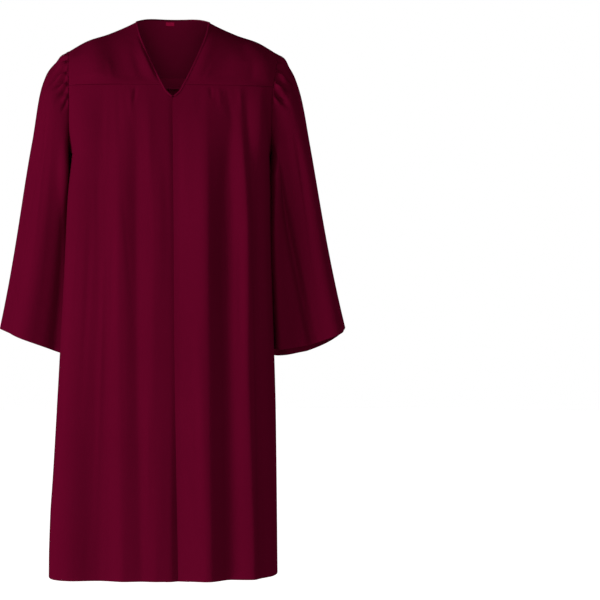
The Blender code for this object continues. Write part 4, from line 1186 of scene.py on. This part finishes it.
# %% Sleeve surface
def sleeve_height(side, turns, stations):
    """Folds down a sleeve, the gathers and puckers at its head, and the puff below them."""
    height = np.zeros_like(turns)
    for fold in SLEEVE_FOLDS[side]:
        centre = curve(stations, SLEEVE_TURN_LEVELS, (fold.turn_head, fold.turn_middle, fold.turn_cuff))
        size = curve(stations, SLEEVE_FOLD_LEVELS, (0.0, fold.head, fold.middle, fold.cuff))
        height += size * bell((turns - centre + 0.5) % 1.0 - 0.5, fold.width)
    under = bell(turns % 1.0 - UNDERARM_TUCK_TURN, UNDERARM_TUCK_WIDTH)
    tucked = ramp(*UNDERARM_TUCK_RISE, stations) * (1 - ramp(*UNDERARM_TUCK_FALL, stations))
    height += UNDERARM_TUCKS[side] * under * tucked
    from_top = (turns + 0.5) % 1.0 - 0.5
    window = 1 - ramp(*SLEEVE_GATHER_ENDS, np.abs(from_top))
    phase = 2 * SLEEVE_GATHERS * from_top + SLEEVE_GATHER_DRIFT * np.sin(6 * math.pi * from_top)
    opened = GATHER_AT_SEAM + (1 - GATHER_AT_SEAM) * ramp(0.0, SLEEVE_OPEN, stations)
    waves = -SLEEVE_GATHER_HEIGHT * opened * bell(stations, SLEEVE_GATHER_REACH) * np.cos(2 * math.pi * phase)
    puff = HEAD_PUFF[side] * ramp(*HEAD_PUFF_RISE, stations) * (1 - ramp(*HEAD_PUFF_FALL, stations))
    front = crease_height(SLEEVE_CREASES[side], from_top, stations)
    rear = crease_height(SLEEVE_CREASES[side], -from_top + REAR_CREASE_SHIFT, stations)
    return height + window * (waves + puff) + (front + rear) * ramp(0.0, SLEEVE_OPEN, stations)


def sleeve_surface(side):
    """A sleeve with its folds, for places round it in turns and along it in shares."""
    def plain(turns, stations):
        return sleeve_plain(side, turns, np.clip(stations, 0, 1))

    def surface(turns, stations):
        stations = np.clip(stations, 0, 1)
        height = sleeve_height(side, turns, stations) * ramp(*HEAD_FLAT, stations)
        normal = facing(plain, turns, stations, from_ring, step=1e-3)
        points = plain(turns, stations) + normal * height[..., None]
        under = bell(turns % 1.0 - UNDERARM_FILL_TURN, UNDERARM_FILL_WIDTH)
        points[..., 1] -= UNDERARM_FILLS[side] * under * ramp(*UNDERARM_FILL_RISE, stations)
        return drawn_in(side, points) * np.array((OUTWARD[side], 1.0, 1.0))
    return surface


# %% Sleeves
SLEEVE_LENGTH = 0.66
turns = spaced((-0.25, 130), (0.25, 80), (0.75, 1))[:-1]
places, inset = with_edges(spaced((0.0, 52), (0.13, 40), (0.36, 46), (SLEEVE_LENGTH, 1)), SEAM,
                           edge_turn(TURN, CUFF_BAND))
around, rows = (turns, 0 * turns), (places / SLEEVE_LENGTH, inset)
for side in ("right", "left"):
    sleeve = sewn(f"sleeve_cloth_{side}", sleeve_surface(side), around, rows, from_ring, closed=True)
    dress(sleeve, f"sleeve_{side}")

# %% [markdown]
# ## The neck edge
#
# The neck is finished with a narrow turned edge that catches the light. A folded strip would show
# the same line from in front, but a closed edge has no loose side, so it is a small flat oval carried
# along the neck line, its long side in the cloth: up the V, round the back and down again.

# %% Neck edge
NECK_EDGE_WIDE = 0.0021
NECK_EDGE_THICK = 0.0012
NECK_EDGE_OUT = 0.0006
NECK_EDGE_STEPS = 90
V_EDGE_POINT = V_POINT - 0.002
SLOPE_REACH = 0.084

drops = V_EDGE_POINT - V_EDGE_POINT * np.linspace(0, 1, NECK_EDGE_STEPS)
left = at_points(curve(drops, NECK_DROPS, NECK_HALVES), -curve(drops, NECK_DROPS, NECK_FORWARD), -drops)
rear_x = NECK_HALF * np.cos(np.linspace(0, math.pi, NECK_EDGE_STEPS))[1:-1]
right = left[::-1] * np.array((-1.0, 1.0, 1.0))
line = np.concatenate((left, at_points(rear_x, *shoulder_line(rear_x)), right))
along = unit(np.gradient(line, axis=0))
slope = 2 * np.clip(line[:, 1] / SLOPE_REACH, -1, 1)
away = unit(np.cross(at_points(0.0, slope, 1.0), along))
across = unit(np.cross(along, away))
angle = np.linspace(0, 2 * math.pi, 16, endpoint=False)[:, None]
wide = NECK_EDGE_WIDE * np.cos(angle) + NECK_EDGE_OUT
oval = wide * away[:, None] + NECK_EDGE_THICK * np.sin(angle) * across[:, None]
neck_edge = cloth("neck_edge", line[:, None] + oval, from_ring, closed=True, thickness=0.0)
# The edge's finish is a shade lighter than the robe: a painted highlight, on top of the light its shape
# catches.
dress(neck_edge, "neck_binding", outside="edge_satin_and_painted_highlight", inside=None)

# %% [markdown]
# ## Inside the back
#
# The back yoke's seam leaves an allowance that hangs inside, its raw edge bound with overlock
# stitches. They show through the V. Stitches can be painted or raised by a bump, but these catch the
# light one by one, so they are one real thread that zigzags over the edge.

# %% Seam allowance
ALLOWANCE = 0.024
ALLOWANCE_ABOVE_SEAM = 0.0016
ALLOWANCE_REACH = 0.190
ALLOWANCE_INSIDE = 0.0034
ALLOWANCE_LEAN = 0.05
STITCH_LENGTH = 0.0044
STITCH_WIDTH = 0.0040
STITCH_OVER_EDGE = 0.0002
THREAD_RADIUS = 0.0008
THREAD_INSIDE = 0.0009


def allowance_surface(x, below):
    """The allowance, hanging straight down from the back yoke's seam, just inside the cloth."""
    y = seam_y("back", x) - ALLOWANCE_INSIDE - ALLOWANCE_LEAN * below
    return at_points(x, y, back_seam_rise(x, BACK_SEAM) - BACK_SEAM - below)


grid = np.meshgrid(np.linspace(-ALLOWANCE_REACH, ALLOWANCE_REACH, 160),
                   np.linspace(-ALLOWANCE_ABOVE_SEAM, ALLOWANCE, 8))
allowance = cloth("back_seam_allowance", allowance_surface(*grid), from_chest, thickness=THIN_CLOTH)
# The allowance's finish is dyed lighter than the cloth: painted light against the shade inside the back.
dress(allowance, "back_panel", outside="seam_reverse_and_painted_light", inside=None)

# %% Overlock stitches
corners = np.arange(2 * int(2 * ALLOWANCE_REACH / STITCH_LENGTH))
zigzag = np.where(corners % 2, ALLOWANCE - STITCH_WIDTH, ALLOWANCE + STITCH_OVER_EDGE)
steps = np.linspace(0, corners[-1], 5 * corners[-1] + 1)
thread_x = np.interp(steps, corners, np.linspace(-ALLOWANCE_REACH, ALLOWANCE_REACH, len(corners)))
thread = allowance_surface(thread_x, np.interp(steps, corners, zigzag)) - np.array((0.0, THREAD_INSIDE, 0.0))
along = unit(np.gradient(thread, axis=0))
side_on = unit(np.cross(along, (0.0, 1.0, 0.0)))
angle = np.linspace(0, 2 * math.pi, 7, endpoint=False)[:, None]
ring = side_on[:, None] * np.cos(angle) + np.cross(side_on, along)[:, None] * np.sin(angle)
thread = thread[:, None] + THREAD_RADIUS * ring
overlock = cloth("back_seam_overlock", thread, from_ring, closed=True, thickness=0.0)
# The thread's finish is dyed far lighter than the cloth: partly a lighter thread, partly painted light
# against the shade inside the back.
dress(overlock, "back_panel", outside="overlock_thread_and_painted_light", inside=None)

# %% [markdown]
# ## Light inside the neck
#
# The key light would reach over the shoulder and strike one corner inside the neck, which the
# picture shows evenly dim. The back has a light of its own, so the key leaves its cloth out.

# %% Light linking
spared = bpy.data.collections.new("spared_by_key")
for piece in (back, yokes["back"], allowance, overlock):
    spared.objects.link(piece)
key.light_linking.receiver_collection = spared
for entry in spared.collection_objects:
    entry.light_linking.link_state = "EXCLUDE"

# %% [markdown]
# ## The size label
#
# A small woven label is sewn inside the back neck. It is left bare here. A flat card would stand off
# the curved yoke, so the label reads its points from the yoke's own surface and lies along it.

# %% Size label
LABEL_WIDTH = 0.0193
LABEL_HEIGHT = 0.0115
LABEL_CENTRE_X = -0.0067
LABEL_BELOW_EDGE = 0.005
LABEL_INSIDE = 0.0012
LABEL_CURL = 0.0008
CLEAR_OF_EDGE = 0.002


def label_surface(across, down):
    """The label, a little off the inside of the back yoke, lifting slightly at its free edge."""
    share = (LABEL_BELOW_EDGE + LABEL_HEIGHT * down) / YOKE_HEIGHT
    a = (LABEL_CENTRE_X + LABEL_WIDTH * (across - 0.5)) / SHOULDER_HALF
    inward = -facing(back_yoke_surface, a, 1 - share - CLEAR_OF_EDGE, from_chest)
    return back_yoke_surface(a, 1 - share) + inward * (LABEL_INSIDE + LABEL_CURL * down ** 2)[..., None]


grid = np.meshgrid(np.linspace(0, 1, 24), np.linspace(0, 1, 16))
label = cloth("size_label_cloth", label_surface(*grid), lambda points: -from_chest(points),
              thickness=THIN_CLOTH)
dress(label, "size_label", outside="label_satin", inside=None)
